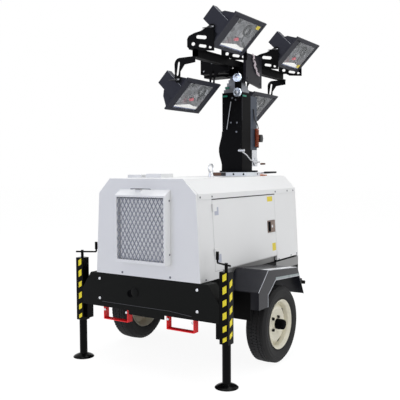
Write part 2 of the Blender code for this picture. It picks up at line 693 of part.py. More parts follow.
def parking_jack(tower):
    """The rear support beside the drawbar: a round tube on the rear cross member with a sliding leg."""
    x, y, r = PARK_JACK_X, PARK_JACK_Y, PARK_TUBE_RADIUS
    profile = [(0, PARK_TUBE_TOP_Z), (r, PARK_TUBE_TOP_Z), (r, PARK_TUBE_BOTTOM_Z),
               (r - JACK_WALL, PARK_TUBE_BOTTOM_Z), (r - JACK_WALL, PARK_TUBE_TOP_Z - JACK_WALL),
               (0, PARK_TUBE_TOP_Z - JACK_WALL)]
    tube = turned("tube", profile, (x, y, 0), "Z", 16)
    plate = box("plate", (x - 0.04, BODY_LENGTH + GAP, RAIL_BOTTOM_Z + 0.02),
                (x + 0.04, y - r + 0.002, RAIL_TOP_Z - 0.01))
    shaft = rod("shaft", (x, y, PARK_TUBE_TOP_Z - 0.002), (x, y, PARK_TUBE_TOP_Z + 0.04), 0.009, 12)
    arm_z = PARK_TUBE_TOP_Z + 0.032
    end = (x + PARK_CRANK_REACH, y + 0.004)
    arm = pipe("arm", [(x + 0.03, y, arm_z), (end[0] - 0.006, end[1], arm_z), (*end, arm_z + 0.006),
                       (*end, arm_z + GRIP_HEIGHT)], CRANK_BAR, 1)
    bar = rod("bar", (x - 0.02, y, arm_z), (x + 0.035, y, arm_z), CRANK_BAR, 10)
    dress(combine(tube, [plate, shaft, bar, arm]), "parking_jack_tube", "jack_black", tower)
    slide = joint_axis("parking_jack_axis", (x, y, 0), tower)
    dress(jack_leg(x, y, PARK_LEG_RADIUS, PARK_LEG_TOP_Z), "parking_jack_leg", "jack_black", slide)


def drawbar(tower):
    """A drawbar that hinges up behind the canopy, with a flat tow eye."""
    half = DRAWBAR_WIDTH / 2
    hinge = joint_axis("drawbar_axis", (0, HITCH_Y, HITCH_Z), tower)
    depth = DRAWBAR_HEIGHT / 2
    section = rectangle(-half, -depth, half, depth)
    hollow = rectangle(-half + 0.004, -depth + 0.004, half - 0.004, depth - 0.004)
    beam = prism("beam", "Y", -0.02, DRAWBAR_LENGTH - EYE_RADIUS, section, hollow)
    plug = prism("plug", "Y", DRAWBAR_LENGTH - EYE_RADIUS - 0.005, DRAWBAR_LENGTH - EYE_RADIUS + 0.004,
                 section)
    sleeve = prism("sleeve", "Y", -0.022, 0.022,
                   rectangle(-half + 0.003, -depth + 0.003, half - 0.003, depth - 0.003))
    neck = prism("neck", "Z", -EYE_THICKNESS / 2, EYE_THICKNESS / 2,
                 rectangle(-0.02, DRAWBAR_LENGTH - EYE_RADIUS - 0.002, 0.02, DRAWBAR_LENGTH - 0.028))
    eye = prism("eye", "Z", -EYE_THICKNESS / 2, EYE_THICKNESS / 2,
                arc((0, DRAWBAR_LENGTH), EYE_RADIUS, 0, 337.5, 15),
                arc((0, DRAWBAR_LENGTH), EYE_RADIUS * 0.55, 0, 337.5, 15))
    bar = combine(beam, [plug, sleeve, neck, eye])
    bore = rod("bore", (-1, 0, 0), (1, 0, 0), PIN_RADIUS + RUN_GAP, 16)
    bar = combine(bar, [bore], "DIFFERENCE")
    bar.data.transform(Matrix.Translation((0, HITCH_Y, HITCH_Z)) @ Matrix.Rotation(-DRAWBAR_SLOPE, 4, "X"))
    dress(bar, "drawbar", "frame_black", hinge)


def end_profile(inset=0.0):
    """The canopy's outline seen from its end, from its right bottom corner round to its left bottom one."""
    lean_in = inset * 1.05
    points = [(BODY_HALF_WIDTH - inset, BODY_BOTTOM_Z),
              (BODY_HALF_WIDTH - BODY_LEAN - lean_in, EAVES_Z - inset * 0.4),
              (BODY_HALF_WIDTH - BODY_LEAN - ROOF_CHAMFER - inset * 0.4, ROOF_Z - inset)]
    return points + [(-x, z) for x, z in reversed(points)]


def canopy(tower):
    """Front and rear panels, leaning side panels with a door opening each, and the folded roof."""
    half = GRILLE_HALF_WIDTH - GRILLE_SILL
    opening = rectangle(-half, GRILLE_BOTTOM_Z + GRILLE_SILL, half, GRILLE_TOP_Z - GRILLE_SILL)
    front = prism("front", "Y", 0.0, WALL, end_profile(), opening)
    dress(front, "canopy_front", "canopy_white", tower)
    dress(prism("rear", "Y", BODY_LENGTH - WALL, BODY_LENGTH, end_profile()), "canopy_rear",
          "canopy_white", tower)

    low_y, high_y = WALL + GAP, BODY_LENGTH - WALL - GAP
    top_z = EAVES_Z - SHEET - GAP
    door_top = EAVES_Z - GUTTER_DROP
    outline = [
        (low_y, BODY_BOTTOM_Z), (SILL_END_Y, BODY_BOTTOM_Z), (SILL_END_Y, DOOR_BOTTOM_Z),
        (DOOR_FRONT_Y, DOOR_BOTTOM_Z),
        (DOOR_FRONT_Y, door_top), (DOOR_REAR_Y, door_top), (DOOR_REAR_Y, REAR_SKIRT_Z),
        (high_y, REAR_SKIRT_Z),
        (high_y, top_z), (low_y, top_z),
    ]
    for letter, side in (("l", -1), ("r", 1)):
        low, high = sorted((side * (BODY_HALF_WIDTH - WALL), side * BODY_HALF_WIDTH))
        panel = lean(prism("side", "X", low, high, outline))
        dress(panel, f"canopy_side_{letter}", "canopy_white", tower)

    x0, x1 = BODY_HALF_WIDTH - BODY_LEAN, BODY_HALF_WIDTH - BODY_LEAN - ROOF_CHAMFER
    drop_z = EAVES_Z - GUTTER_DROP + 0.0015
    flange = side_x(drop_z)
    half_section = [
        (flange + GAP, drop_z), (flange + GAP + SHEET, drop_z), (x0 + GAP + SHEET, EAVES_Z + 0.001),
        (x1, ROOF_Z),
    ]
    inside = [(x1 - WALL * 0.4, ROOF_Z - WALL), (x0 - WALL * 0.7, EAVES_Z - SHEET),
              (x0 + GAP, EAVES_Z - SHEET)]
    section = (half_section + [(-x, z) for x, z in reversed(half_section)]
               + [(-x, z) for x, z in reversed(inside)] + inside)
    roof = prism("roof", "Y", low_y, high_y, section)
    hole = rod("mast_hole", (0, MAST_Y, 1), (0, MAST_Y, 2), COLLAR_RADIUS + 0.01, 32)
    roof = combine(roof, [hole], "DIFFERENCE")
    lids = [box("cover", (x_low, y_low, ROOF_Z - 0.005), (x_high, y_high, ROOF_Z + height))
            for x_low, y_low, x_high, y_high, height in ROOF_COVERS]
    dress(combine(roof, lids), "canopy_roof", "canopy_white", tower)

    loop = arc((LIFT_EYE_Y, LIFT_EYE_Z), LIFT_EYE_RADIUS, -60, 240, 12)
    ring = pipe("ring", [(0.0, y, z) for y, z in loop], LIFT_EYE_BAR, 1)
    foot = rod("foot", (0, LIFT_EYE_Y, ROOF_Z + GAP), (0, LIFT_EYE_Y, LIFT_EYE_Z - 0.022), 0.022, 16,
               0.014)
    dress(combine(foot, [ring]), "lifting_eye", "steel_zinc", tower)


def doors(tower):
    """Side doors, hung on knuckles at the grille end, each with a paddle latch in its rear half."""
    top_z = EAVES_Z - GUTTER_DROP
    for letter, side in (("l", -1), ("r", 1)):
        low, high = sorted((side * (BODY_HALF_WIDTH - WALL), side * BODY_HALF_WIDTH))
        outline = rectangle(DOOR_FRONT_Y + DOOR_GAP, DOOR_BOTTOM_Z + DOOR_GAP, DOOR_REAR_Y - DOOR_GAP,
                            top_z - DOOR_GAP)
        pocket = rectangle(LATCH_Y - LATCH_LENGTH / 2, LATCH_Z - LATCH_HEIGHT / 2,
                           LATCH_Y + LATCH_LENGTH / 2, LATCH_Z + LATCH_HEIGHT / 2)
        panel = prism("door", "X", low, high, outline)
        low, high = sorted((side * (BODY_HALF_WIDTH - LATCH_DEPTH), side * (BODY_HALF_WIDTH + 0.05)))
        panel = combine(panel, [prism("pocket", "X", low, high, pocket)], "DIFFERENCE")
        knuckle_x = side * (BODY_HALF_WIDTH + HINGE_RADIUS + GAP)
        for z in HINGE_HEIGHTS:
            panel = combine(panel, [
                rod("knuckle", (knuckle_x, DOOR_FRONT_Y, z), (knuckle_x, DOOR_FRONT_Y, z + HINGE_LENGTH),
                    HINGE_RADIUS, 12),
                box("leaf", (min(knuckle_x, side * (BODY_HALF_WIDTH - 0.002)), DOOR_FRONT_Y + 0.001,
                             z + 0.002),
                    (max(knuckle_x, side * (BODY_HALF_WIDTH - 0.002)), DOOR_FRONT_Y + 0.045,
                     z + HINGE_LENGTH - 0.002)),
            ])
        axis_z = 0.9
        hinge = joint_axis(f"door_axis_{letter}",
                           (side * (side_x(axis_z) + HINGE_RADIUS + GAP), DOOR_FRONT_Y, axis_z), tower)
        hinge.rotation_euler = (0, -side * math.atan2(BODY_LEAN, EAVES_Z - BODY_BOTTOM_Z), 0)
        bpy.context.view_layer.update()
        dress(lean(panel), f"door_{letter}", "canopy_white", hinge)
        inset = LATCH_SLACK
        low, high = sorted((side * (BODY_HALF_WIDTH - LATCH_DEPTH + GAP),
                            side * (BODY_HALF_WIDTH - 0.008)))
        back = box("dish", (low, LATCH_Y - LATCH_LENGTH / 2 + inset, LATCH_Z - LATCH_HEIGHT / 2 + inset),
                   (high, LATCH_Y + LATCH_LENGTH / 2 - inset, LATCH_Z + LATCH_HEIGHT / 2 - inset))
        low, high = sorted((side * (BODY_HALF_WIDTH - 0.009), side * (BODY_HALF_WIDTH + 0.002)))
        paddle = box("paddle", (low, LATCH_Y - LATCH_LENGTH / 2 + 0.012, LATCH_Z - 0.016),
                     (high, LATCH_Y + LATCH_LENGTH / 2 - 0.012, LATCH_Z + 0.030))
        dress(lean(combine(back, [paddle])), f"door_latch_{letter}", "steel_zinc", hinge)


def grille(tower):
    """The folded grille box with its sloped hood, and the expanded-metal mesh that it frames."""
    w, front = GRILLE_HALF_WIDTH, -GRILLE_PROUD
    rim = GRILLE_RIM
    outer = rectangle(-w, GRILLE_BOTTOM_Z, w, GRILLE_TOP_Z)
    inner = rectangle(-w + rim, GRILLE_BOTTOM_Z + GRILLE_SILL, w - rim, GRILLE_TOP_Z - rim)
    frame = prism("frame", "Y", front, -GAP, outer, inner)
    hood = prism("hood", "X", -w, w, [(-GAP, GRILLE_TOP_Z - 0.004), (front, GRILLE_TOP_Z - 0.004),
                                     (front, GRILLE_TOP_Z), (-GAP, GRILLE_HOOD_Z)])
    tab = box("tab", (-0.055, -0.03, GRILLE_TOP_Z + 0.01), (-0.015, -GAP, GRILLE_HOOD_Z + 0.008))
    dress(combine(frame, [hood, tab]), "grille_frame", "canopy_white", tower)

    width, height = 2 * (w - rim - GAP), GRILLE_TOP_Z - GRILLE_BOTTOM_Z - GRILLE_SILL - rim - 2 * GAP
    low_u, low_v = -width / 2, GRILLE_BOTTOM_Z + GRILLE_SILL + GAP
    pitch_u, pitch_v = width / MESH_COLUMNS, height / MESH_ROWS
    loops = [rectangle(low_u, low_v, low_u + width, low_v + height)]
    half_u, half_v = pitch_u / 2 - MESH_STRAND * 0.7, pitch_v / 2 - MESH_STRAND * 0.7
    for row in range(2 * MESH_ROWS - 1):
        shifted = row % 2
        for column in range(MESH_COLUMNS - shifted):
            u = low_u + pitch_u * (column + 0.5 + 0.5 * shifted)
            v = low_v + pitch_v * (row + 1) / 2
            loops.append([(u - half_u, v), (u, v - half_v), (u + half_u, v), (u, v + half_v)])
    sheet = prism("mesh", "Y", front + MESH_SETBACK, front + MESH_SETBACK + MESH_SHEET, *loops)
    dress(sheet, "grille_mesh", "mesh_grey", tower)


def power_unit(tower):
    """The radiator behind the grille, and the engine with its generator, as plain blocks of real size."""
    half = GRILLE_HALF_WIDTH + 0.02
    core = box("core", (-half, WALL + GAP, BODY_BOTTOM_Z + 0.01), (half, RADIATOR_REAR_Y, GRILLE_TOP_Z))
    dress(core, "radiator", "steel_zinc", tower)
    low_z = RAIL_TOP_Z - RAIL_SHEET - 0.001 + TRAY_SHEET + GAP
    blocks = [box("block", (-half_x, front_y, low_z), (half_x, rear_y, top_z))
              for half_x, front_y, rear_y, top_z in (ENGINE, GENERATOR)]
    dress(combine(blocks[0], blocks[1:]), "power_unit", "frame_black", tower)


def square_tube(name, centre_y, half_x, half_y, low_z, high_z, wall):
    """An upright rectangular tube, open at both ends."""
    return prism(name, "Z", low_z, high_z,
                 rectangle(-half_x, centre_y - half_y, half_x, centre_y + half_y),
                 rectangle(-half_x + wall, centre_y - half_y + wall, half_x - wall,
                           centre_y + half_y - wall))


def slewing_base(tower):
    """The fixed clamp plate on the roof, in which the mast turns."""
    half = BASE_SIDE / 2
    plate = prism("plate", "Z", ROOF_Z + GAP, ROOF_Z + GAP + BASE_HEIGHT,
                  rectangle(-half, MAST_Y - half, half, MAST_Y + half),
                  arc((0, MAST_Y), COLLAR_RADIUS, 0, 348.75, 31))
    dress(plate, "slewing_base", "steel_zinc", tower)


def mast(tower):
    """The turning outer column with its cheek plate, winch and sheaves, and the sections nested in it."""
    turn = joint_axis("mast_axis", (0, MAST_Y, ROOF_Z), tower)
    column_y = COLUMN_FRONT_Y + COLUMN_DEPTH / 2
    column = square_tube("column", column_y, MAST_HALF_X, COLUMN_DEPTH / 2, MAST_BOTTOM_Z, MAST_TOP_Z,
                         SECTION_WALL)
    flange_z = ROOF_Z + GAP + BASE_HEIGHT + RUN_GAP
    flange = rod("flange", (0, MAST_Y, flange_z), (0, MAST_Y, flange_z + 0.012), COLLAR_RADIUS + 0.012,
                 32)
    spigot = rod("spigot", (0, MAST_Y, ROOF_Z - 0.03), (0, MAST_Y, flange_z + 0.001),
                 COLLAR_RADIUS - 0.002, 32)
    core = box("core", (-MAST_HALF_X + 0.002, COLUMN_FRONT_Y + 0.002, 0), (MAST_HALF_X - 0.002,
               COLUMN_FRONT_Y + COLUMN_DEPTH - 0.002, 3))
    collar = combine(combine(flange, [spigot]), [core], "DIFFERENCE")
    post = box("post", (MAST_HALF_X - 0.07, COLUMN_FRONT_Y + COLUMN_DEPTH - 0.002, flange_z + 0.011),
               (MAST_HALF_X - 0.004, COLUMN_FRONT_Y + COLUMN_DEPTH + 0.03, BACK_POST_TOP_Z))
    dress(combine(column, [collar, post]), "mast_column", "frame_black", turn)

    low_z = flange_z + 0.012 + GAP
    left = [(-MAST_HALF_X, ROOF_Z + CHEEK_HEIGHT)] + [
        (-MAST_HALF_X - CHEEK_BULGE * math.sin(math.radians(a)) ** 2,
         ROOF_Z + CHEEK_HEIGHT - (CHEEK_HEIGHT - 0.06) * a / 180) for a in range(20, 180, 20)
    ] + [(-MAST_HALF_X - 0.004, low_z + 0.02), (-MAST_HALF_X - 0.004, low_z)]
    right = [(MAST_HALF_X, low_z), (MAST_HALF_X, CHEEK_RIGHT_TOP_Z)]
    cheek_y = COLUMN_FRONT_Y - GAP
    dress(prism("cheek", "Y", cheek_y - CHEEK_SHEET, cheek_y, left + right), "mast_cheek_plate",
          "frame_black", turn)

    post_low, post_high = COLUMN_FRONT_Y + COLUMN_DEPTH + GAP, COLUMN_FRONT_Y + COLUMN_DEPTH + BACK_DEPTH
    back = prism("back", "Z", BACK_POST_BOTTOM_Z, MAST_TOP_Z - 0.02, [
        (-MAST_HALF_X + 0.01, post_low), (MAST_HALF_X - 0.004, post_low),
        (MAST_HALF_X - 0.004, post_high),
        (-MAST_HALF_X + 0.01, post_high)],
        rectangle(-MAST_HALF_X + 0.014, post_low + 0.004, MAST_HALF_X - 0.008, post_high - 0.004))
    dress(back, "mast_back_channel", "mast_steel", turn)

    winch_y = COLUMN_FRONT_Y + COLUMN_DEPTH + 0.03 + GAP
    drum = rod("drum", (-0.035, winch_y + 0.055, WINCH_Z), (0.092, winch_y + 0.055, WINCH_Z), 0.032, 20)
    frame = prism("frame", "Z", WINCH_Z - 0.035, WINCH_Z + 0.035,
                  [(0.03, winch_y), (0.085, winch_y), (0.085, winch_y + 0.09), (0.079, winch_y + 0.09),
                   (0.079, winch_y + 0.006), (0.03, winch_y + 0.006)])
    shaft_y = winch_y + 0.055
    hand = [(x, shaft_y - back, WINCH_Z + rise) for x, back, rise in WINCH_CRANK]
    crank = pipe("crank", hand, WINCH_CRANK_BAR, 1)
    end_x, end_y, end_z = hand[-1]
    grip = rod("grip", (end_x - 0.004, end_y, end_z), (end_x + WINCH_GRIP, end_y, end_z), 0.010, 12)
    dress(combine(drum, [frame, crank, grip]), "mast_winch", "steel_zinc", turn)

    sheave_x = PULLEY_X
    sheave_y = COLUMN_FRONT_Y - PULLEY_WIDTH - 0.012
    bracket = box("bracket", (sheave_x - 0.028, COLUMN_FRONT_Y - 0.008, MAST_TOP_Z - 0.06),
                  (sheave_x + 0.028, COLUMN_FRONT_Y - GAP, PULLEY_Z[-1] + 0.025))
    wheels_on_it = []
    for z in PULLEY_Z:
        profile = [(0, PULLEY_WIDTH), (PULLEY_RADIUS, PULLEY_WIDTH),
                   (PULLEY_RADIUS - 0.008, PULLEY_WIDTH * 0.6),
                   (PULLEY_RADIUS - 0.008, PULLEY_WIDTH * 0.4), (PULLEY_RADIUS, 0), (0, 0)]
        wheels_on_it.append(turned("sheave", profile, (sheave_x, sheave_y + 0.002, z), "Y", 16))
        wheels_on_it.append(rod("pin", (sheave_x, sheave_y - 0.004, z),
                                (sheave_x, COLUMN_FRONT_Y - 0.004, z), 0.008, 10))
    dress(combine(bracket, wheels_on_it), "mast_sheaves", "pulley_blue", turn)

    carrier = turn
    for number in range(1, SECTION_COUNT + 1):
        half_x = MAST_HALF_X - SECTION_STEP * number
        half_y = COLUMN_DEPTH / 2 - SECTION_STEP * number
        top = MAST_TOP_Z + SECTION_RISE * number
        slide = joint_axis(f"section_axis_{number}", (0, column_y, top), carrier)
        tube = square_tube("section", column_y, half_x, half_y, MAST_BOTTOM_Z + 0.004, top, SECTION_WALL)
        slack = SECTION_STEP - SECTION_WALL - GAP
        shoe = square_tube("shoe", column_y, half_x + slack, half_y + slack, MAST_BOTTOM_Z + 0.03,
                           MAST_BOTTOM_Z + 0.03 + SHOE_HEIGHT, slack + SECTION_WALL / 2)
        dress(combine(tube, [shoe]), f"mast_section_{number}", "mast_steel", slide)
        carrier = slide
    return carrier


def head(carrier):
    """The head on the innermost section: its block, the front plate, the beam and the junction box."""
    top = MAST_TOP_Z + SECTION_RISE * SECTION_COUNT
    beam_low = HEAD_BEAM_Z - HEAD_BEAM_SIDE / 2
    block = box("block", (HEAD_BLOCK_X[0], HEAD_Y + HEAD_BLOCK_Y[0], top + GAP),
                (HEAD_BLOCK_X[1], HEAD_Y + HEAD_BLOCK_Y[1], beam_low - GAP))
    junction = box("junction", (JUNCTION_X[0], HEAD_Y + JUNCTION_Y[0], JUNCTION_Z[0]),
                   (JUNCTION_X[1], HEAD_Y + JUNCTION_Y[1], JUNCTION_Z[1]))
    dress(combine(block, [junction]), "head_block", "frame_black", carrier)
    plate_x = HEAD_BLOCK_X[1] + GAP
    plate = prism("plate", "X", plate_x, plate_x + HEAD_PLATE_SHEET,
                  [(HEAD_Y + y, z) for y, z in HEAD_PLATE])
    dress(plate, "head_plate", "lamp_grey", carrier)
    half = HEAD_BEAM_SIDE / 2
    beam = prism("beam", "Y", HEAD_Y - HEAD_BEAM_HALF, HEAD_Y + HEAD_BEAM_HALF,
                 rectangle(HEAD_BEAM_X - half, HEAD_BEAM_Z - half, HEAD_BEAM_X + half,
                           HEAD_BEAM_Z + half),
                 rectangle(HEAD_BEAM_X - half + 0.004, HEAD_BEAM_Z - half + 0.004,
                           HEAD_BEAM_X + half - 0.004, HEAD_BEAM_Z + half - 0.004))
    dress(beam, "head_beam", "frame_black", carrier)


def slot_loop(x0, z0, x1, z1, half_width):
    """A slot with round ends between two centres, in the XZ plane."""
    angle = math.degrees(math.atan2(z1 - z0, x1 - x0))
    return (arc((x1, z1), half_width, angle - 90, angle + 90, 3)
            + arc((x0, z0), half_width, angle + 90, angle + 270, 3))


def pivot_point(level):
    """Where a lamp of this level is held: x and z of its tilt axis."""
    x, z = LAMP_CENTRES[level]
    back, up = LAMP_PIVOTS[level]
    c, s = math.cos(LAMP_TILT), math.sin(LAMP_TILT)
    return x - back * c + up * s, z + back * s + up * c


def stirrups(carrier):
    """A bent stirrup for each lamp: a base strip on the cross beam and a slotted arm up each flank."""
    beam_half = HEAD_BEAM_SIDE / 2
    reach = LAMP_WIDTH / 2 + STIRRUP_CLEARANCE
    x0, x1 = HEAD_BEAM_X - beam_half, HEAD_BEAM_X + beam_half
    for level in LAMP_CENTRES:
        px, pz = pivot_point(level)
        if level == "upper":
            base_z = HEAD_BEAM_Z + beam_half + GAP
            low, high = base_z, base_z + STIRRUP_SHEET
            outline = [(x0 + x, low + z) for x, z in UPPER_ARM_FOOT] + arc((px, pz), 0.022, -45, 100, 6)
            outline += [(x0 + x, low + z) for x, z in UPPER_ARM_TOP]
            slots = [slot_loop(x0 + xa, low + za, x0 + xb, low + zb, r) for xa, za, xb, zb,
                     r in UPPER_ARM_SLOTS]
        else:
            base_z = HEAD_BEAM_Z - beam_half - GAP
            low, high = base_z - STIRRUP_SHEET, base_z
            elbow = (px - 0.005, base_z - 0.045)
            outline = ([(x1, high), (px + 0.035, high)] + arc((px + 0.02, high - 0.045), 0.045, 95, 175,
                                                              5)
                       + arc((px, pz), 0.022, 180, 360, 8) + [(px + 0.024, pz + 0.055),
                                                              (px + 0.06, base_z - 0.050),
                                                                   (x1, base_z - 0.042)])
            slots = [slot_loop(px, pz + 0.035, elbow[0] + 0.018, elbow[1] + 0.010, 0.009)]
        bolt_hole = arc((px, pz), 0.008, 0, 315, 7)
        for letter, direction in (("l", -1), ("r", 1)):
            y = HEAD_Y + direction * LAMP_SPACING
            strip = box("strip", (x0 - 0.005, y - reach - 0.001, low),
                        (x1 + 0.005, y + reach + 0.001, high))
            arms = [prism("arm", "Y", *sorted((y + flank * reach, y + flank * (reach + STIRRUP_SHEET))),
                          outline, bolt_hole, *slots) for flank in (-1, 1)]
            dress(combine(strip, arms, solver="MANIFOLD"), f"stirrup_{level}_{letter}", "frame_black",
                  carrier)


def lamps(carrier):
    """Four floodlights: a hollow housing with a curved back, a gear box on one flank, a rim and a glass."""
    half_w, half_h = LAMP_WIDTH / 2, LAMP_HEIGHT / 2
    body_w, body_h = half_w - LAMP_RIM, half_h - LAMP_RIM
    outline = [(0.0, body_h), (-LAMP_RIM, body_h)] + [(-back, up * body_h) for back,
                                                      up in LAMP_BACK_CURVE]
    outline += [(x, -z) for x, z in reversed(outline)]
    t = LAMP_WALL
    inside = [(0.05, body_h - t), (-LAMP_RIM, body_h - t)] + [(-back + t * 0.8, up * body_h - t) for back,
                                                              up in LAMP_BACK_CURVE]
    inside += [(x, -z) for x, z in reversed(inside)]
    for level, (cx, cz) in LAMP_CENTRES.items():
        px, pz = pivot_point(level)
        back, up = LAMP_PIVOTS[level]
        for letter, direction in (("l", -1), ("r", 1)):
            y = HEAD_Y + direction * LAMP_SPACING
            place = Matrix.Translation((cx, y, cz)) @ Matrix.Rotation(LAMP_TILT, 4, "Y")
            shell = prism("shell", "Y", -body_w, body_w, outline)
            shell = combine(shell, [prism("hollow", "Y", -body_w + t, body_w - t, inside)], "DIFFERENCE",
                            "MANIFOLD")
            rim = prism("rim", "X", -LAMP_RIM, 0.0, rectangle(-half_w, -half_h, half_w, half_h),
                        rectangle(-body_w + t + 0.006, -body_h + t + 0.006, body_w - t - 0.006,
                                  body_h - t - 0.006))
            gear = box("gear", (-GEAR_BACK, -body_w - 0.008, GEAR_LOW),
                       (-LAMP_RIM - 0.001, -body_w + 0.045, GEAR_HIGH))
            cut = box("cut", (-0.108, -body_w + t, GEAR_LOW + 0.004),
                      (0, -body_w + 0.05, GEAR_HIGH - 0.004))
            gear = combine(gear, [cut], "DIFFERENCE", "MANIFOLD")
            boss_reach = half_w + STIRRUP_CLEARANCE + STIRRUP_SHEET + 0.008
            bosses = [rod("boss", (-back, flank * (body_w - t * 0.5), up),
                          (-back, flank * (half_w + STIRRUP_CLEARANCE - GAP),
                      up), 0.016, 10) for flank in (-1, 1)]
            bolts = [rod("bolt", (-back, flank * (body_w - t * 0.5), up), (-back, flank * boss_reach, up),
                         0.0065, 8)
                     for flank in (-1, 1)]
            housing = combine(shell, [rim, gear] + bosses + bolts, solver="MANIFOLD")
            housing.data.transform(place)
            tilt = joint_axis(f"lamp_axis_{level}_{letter}", (px, y, pz), carrier)
            dress(housing, f"lamp_housing_{level}_{letter}", "lamp_grey", tilt)
            pane_w, pane_h = body_w - t - 0.006 - GAP, body_h - t - 0.006 - GAP
            glass = box("glass", (-0.008, -pane_w, -pane_h), (-0.004, pane_w, pane_h))
            glass.data.transform(place)
            dress(glass, f"lamp_glass_{level}_{letter}", "lamp_glass", tilt)


def light_tower():
    """Build the whole tower, then centre its box on the origin."""
    clear_scene()
    tower = bpy.data.objects.new("light_tower", None)
    collection(PARTS).objects.link(tower)
    for build in (chassis, front_beam, fork_guards, axle, wheels, fenders, front_jacks, parking_jack,
                  drawbar,
                  canopy, doors, grille, power_unit, slewing_base):
        build(tower)
    top_section = mast(tower)
    head(top_section)
    stirrups(top_section)
    lamps(top_section)
    tower.location = (0, -CENTRE_Y, 0)


light_tower()
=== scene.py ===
"""Looks of the mobile light tower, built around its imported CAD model.

Metres, +Z up, in the frame of the CAD. The canopy's air outlet faces -Y, the drawbar points to +Y.
"""

from __future__ import annotations

import json
import logging
import math
from dataclasses import dataclass
from enum import Enum
from typing import ClassVar, Sequence

import bmesh
import bpy
from mathutils import Matrix, Vector

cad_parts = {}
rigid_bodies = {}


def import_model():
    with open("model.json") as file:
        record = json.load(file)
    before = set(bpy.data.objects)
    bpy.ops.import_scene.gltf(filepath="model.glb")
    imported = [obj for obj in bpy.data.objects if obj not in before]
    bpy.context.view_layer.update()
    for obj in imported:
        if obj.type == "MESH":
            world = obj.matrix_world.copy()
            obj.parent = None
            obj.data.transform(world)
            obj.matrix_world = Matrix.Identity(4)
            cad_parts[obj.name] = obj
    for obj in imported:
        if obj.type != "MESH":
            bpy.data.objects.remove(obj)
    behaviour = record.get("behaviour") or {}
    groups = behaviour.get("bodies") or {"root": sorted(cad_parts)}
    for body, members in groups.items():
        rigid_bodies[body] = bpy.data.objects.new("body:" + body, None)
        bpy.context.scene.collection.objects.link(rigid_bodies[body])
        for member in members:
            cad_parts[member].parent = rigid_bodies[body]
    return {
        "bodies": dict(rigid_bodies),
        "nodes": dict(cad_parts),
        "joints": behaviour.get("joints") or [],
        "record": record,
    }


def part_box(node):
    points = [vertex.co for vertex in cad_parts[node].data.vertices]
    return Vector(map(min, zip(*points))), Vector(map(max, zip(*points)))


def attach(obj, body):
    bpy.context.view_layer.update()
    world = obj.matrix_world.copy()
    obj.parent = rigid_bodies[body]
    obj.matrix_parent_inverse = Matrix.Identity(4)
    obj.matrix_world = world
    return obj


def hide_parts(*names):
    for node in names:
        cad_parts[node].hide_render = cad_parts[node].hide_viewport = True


LOG = logging.getLogger("light_tower")
MM = 0.001
# Points nearer than this in metres become one, and faces that differ by less than this in degrees too
SAME_PLACE, SAME_WAY = 1e-5, 0.5
# How far in metres the shank of a screw or bolt goes into its seat
SHANK = 0.0015

Point = Sequence[float]
Table = tuple[tuple, ...]


class Side(Enum):
    """Left and right of the tower, seen from its air outlet end."""

    LEFT = ("l", -1)
    RIGHT = ("r", 1)

    @property
    def letter(self) -> str:
        """The letter that ends the names of this side's nodes."""
        return self.value[0]

    @property
    def sign(self) -> int:
        """The sign of this side's X coordinates."""
        return self.value[1]


class Level(Enum):
    """The two rows of floodlights on the head."""

    UPPER = "upper"
    LOWER = "lower"


class Axis(Enum):
    """The axis that a flat outline is pushed along: X takes (y, z) points, and Y takes (x, z) points."""

    X = ((0, 0, 1), (1, 0, 0), (0, 1, 0))
    Y = ((1, 0, 0), (0, 0, 1), (0, 1, 0))

    @property
    def turn(self) -> Matrix:
        """The matrix that takes an outline's two coordinates and its height to the tower's frame."""
        return Matrix(self.value)


# Colours and nodes


def linear(code: str) -> tuple[float, float, float, float]:
    """Turn an sRGB hex colour into the linear one that shaders use.

    Args:
        code: six hex digits after a hash sign.

    Returns:
        Red, green, blue and an alpha of 1.
    """
    parts = [int(code[i:i + 2], 16) / 255 for i in (1, 3, 5)]
    red, green, blue = [c / 12.92 if c <= 0.04045 else ((c + 0.055) / 1.055) ** 2.4 for c in parts]
    return red, green, blue, 1.0


def add_node(tree: bpy.types.NodeTree, kind: str, settings: dict | None = None,
             links: dict | None = None) -> bpy.types.Node:
    """Add a shader node with its settings and its incoming links.

    Args:
        tree: the node tree that gets it.
        kind: Blender's name of the node type.
        settings: values by attribute name, or by the name or number of an input.
        links: output sockets by the name or number of the input that they feed.

    Returns:
        The new node.
    """
    node = tree.nodes.new(kind)
    for key, value in (settings or {}).items():
        if isinstance(key, str) and hasattr(node, key):
            setattr(node, key, value)
        else:
            node.inputs[key].default_value = value
    for key, socket in (links or {}).items():
        tree.links.new(socket, node.inputs[key])
    return node


def shader_of(name: str) -> tuple[bpy.types.Material, bpy.types.Node, bpy.types.NodeSocket]:
    """Start a material with a Principled shader.

    Args:
        name: the material's name.

    Returns:
        The material, its Principled node, and the object coordinates in metres.
    """
    material = bpy.data.materials.new(name)
    material.use_nodes = True
    shader = material.node_tree.nodes["Principled BSDF"]
    place = add_node(material.node_tree, "ShaderNodeTexCoord")
    return material, shader, place.outputs["Object"]


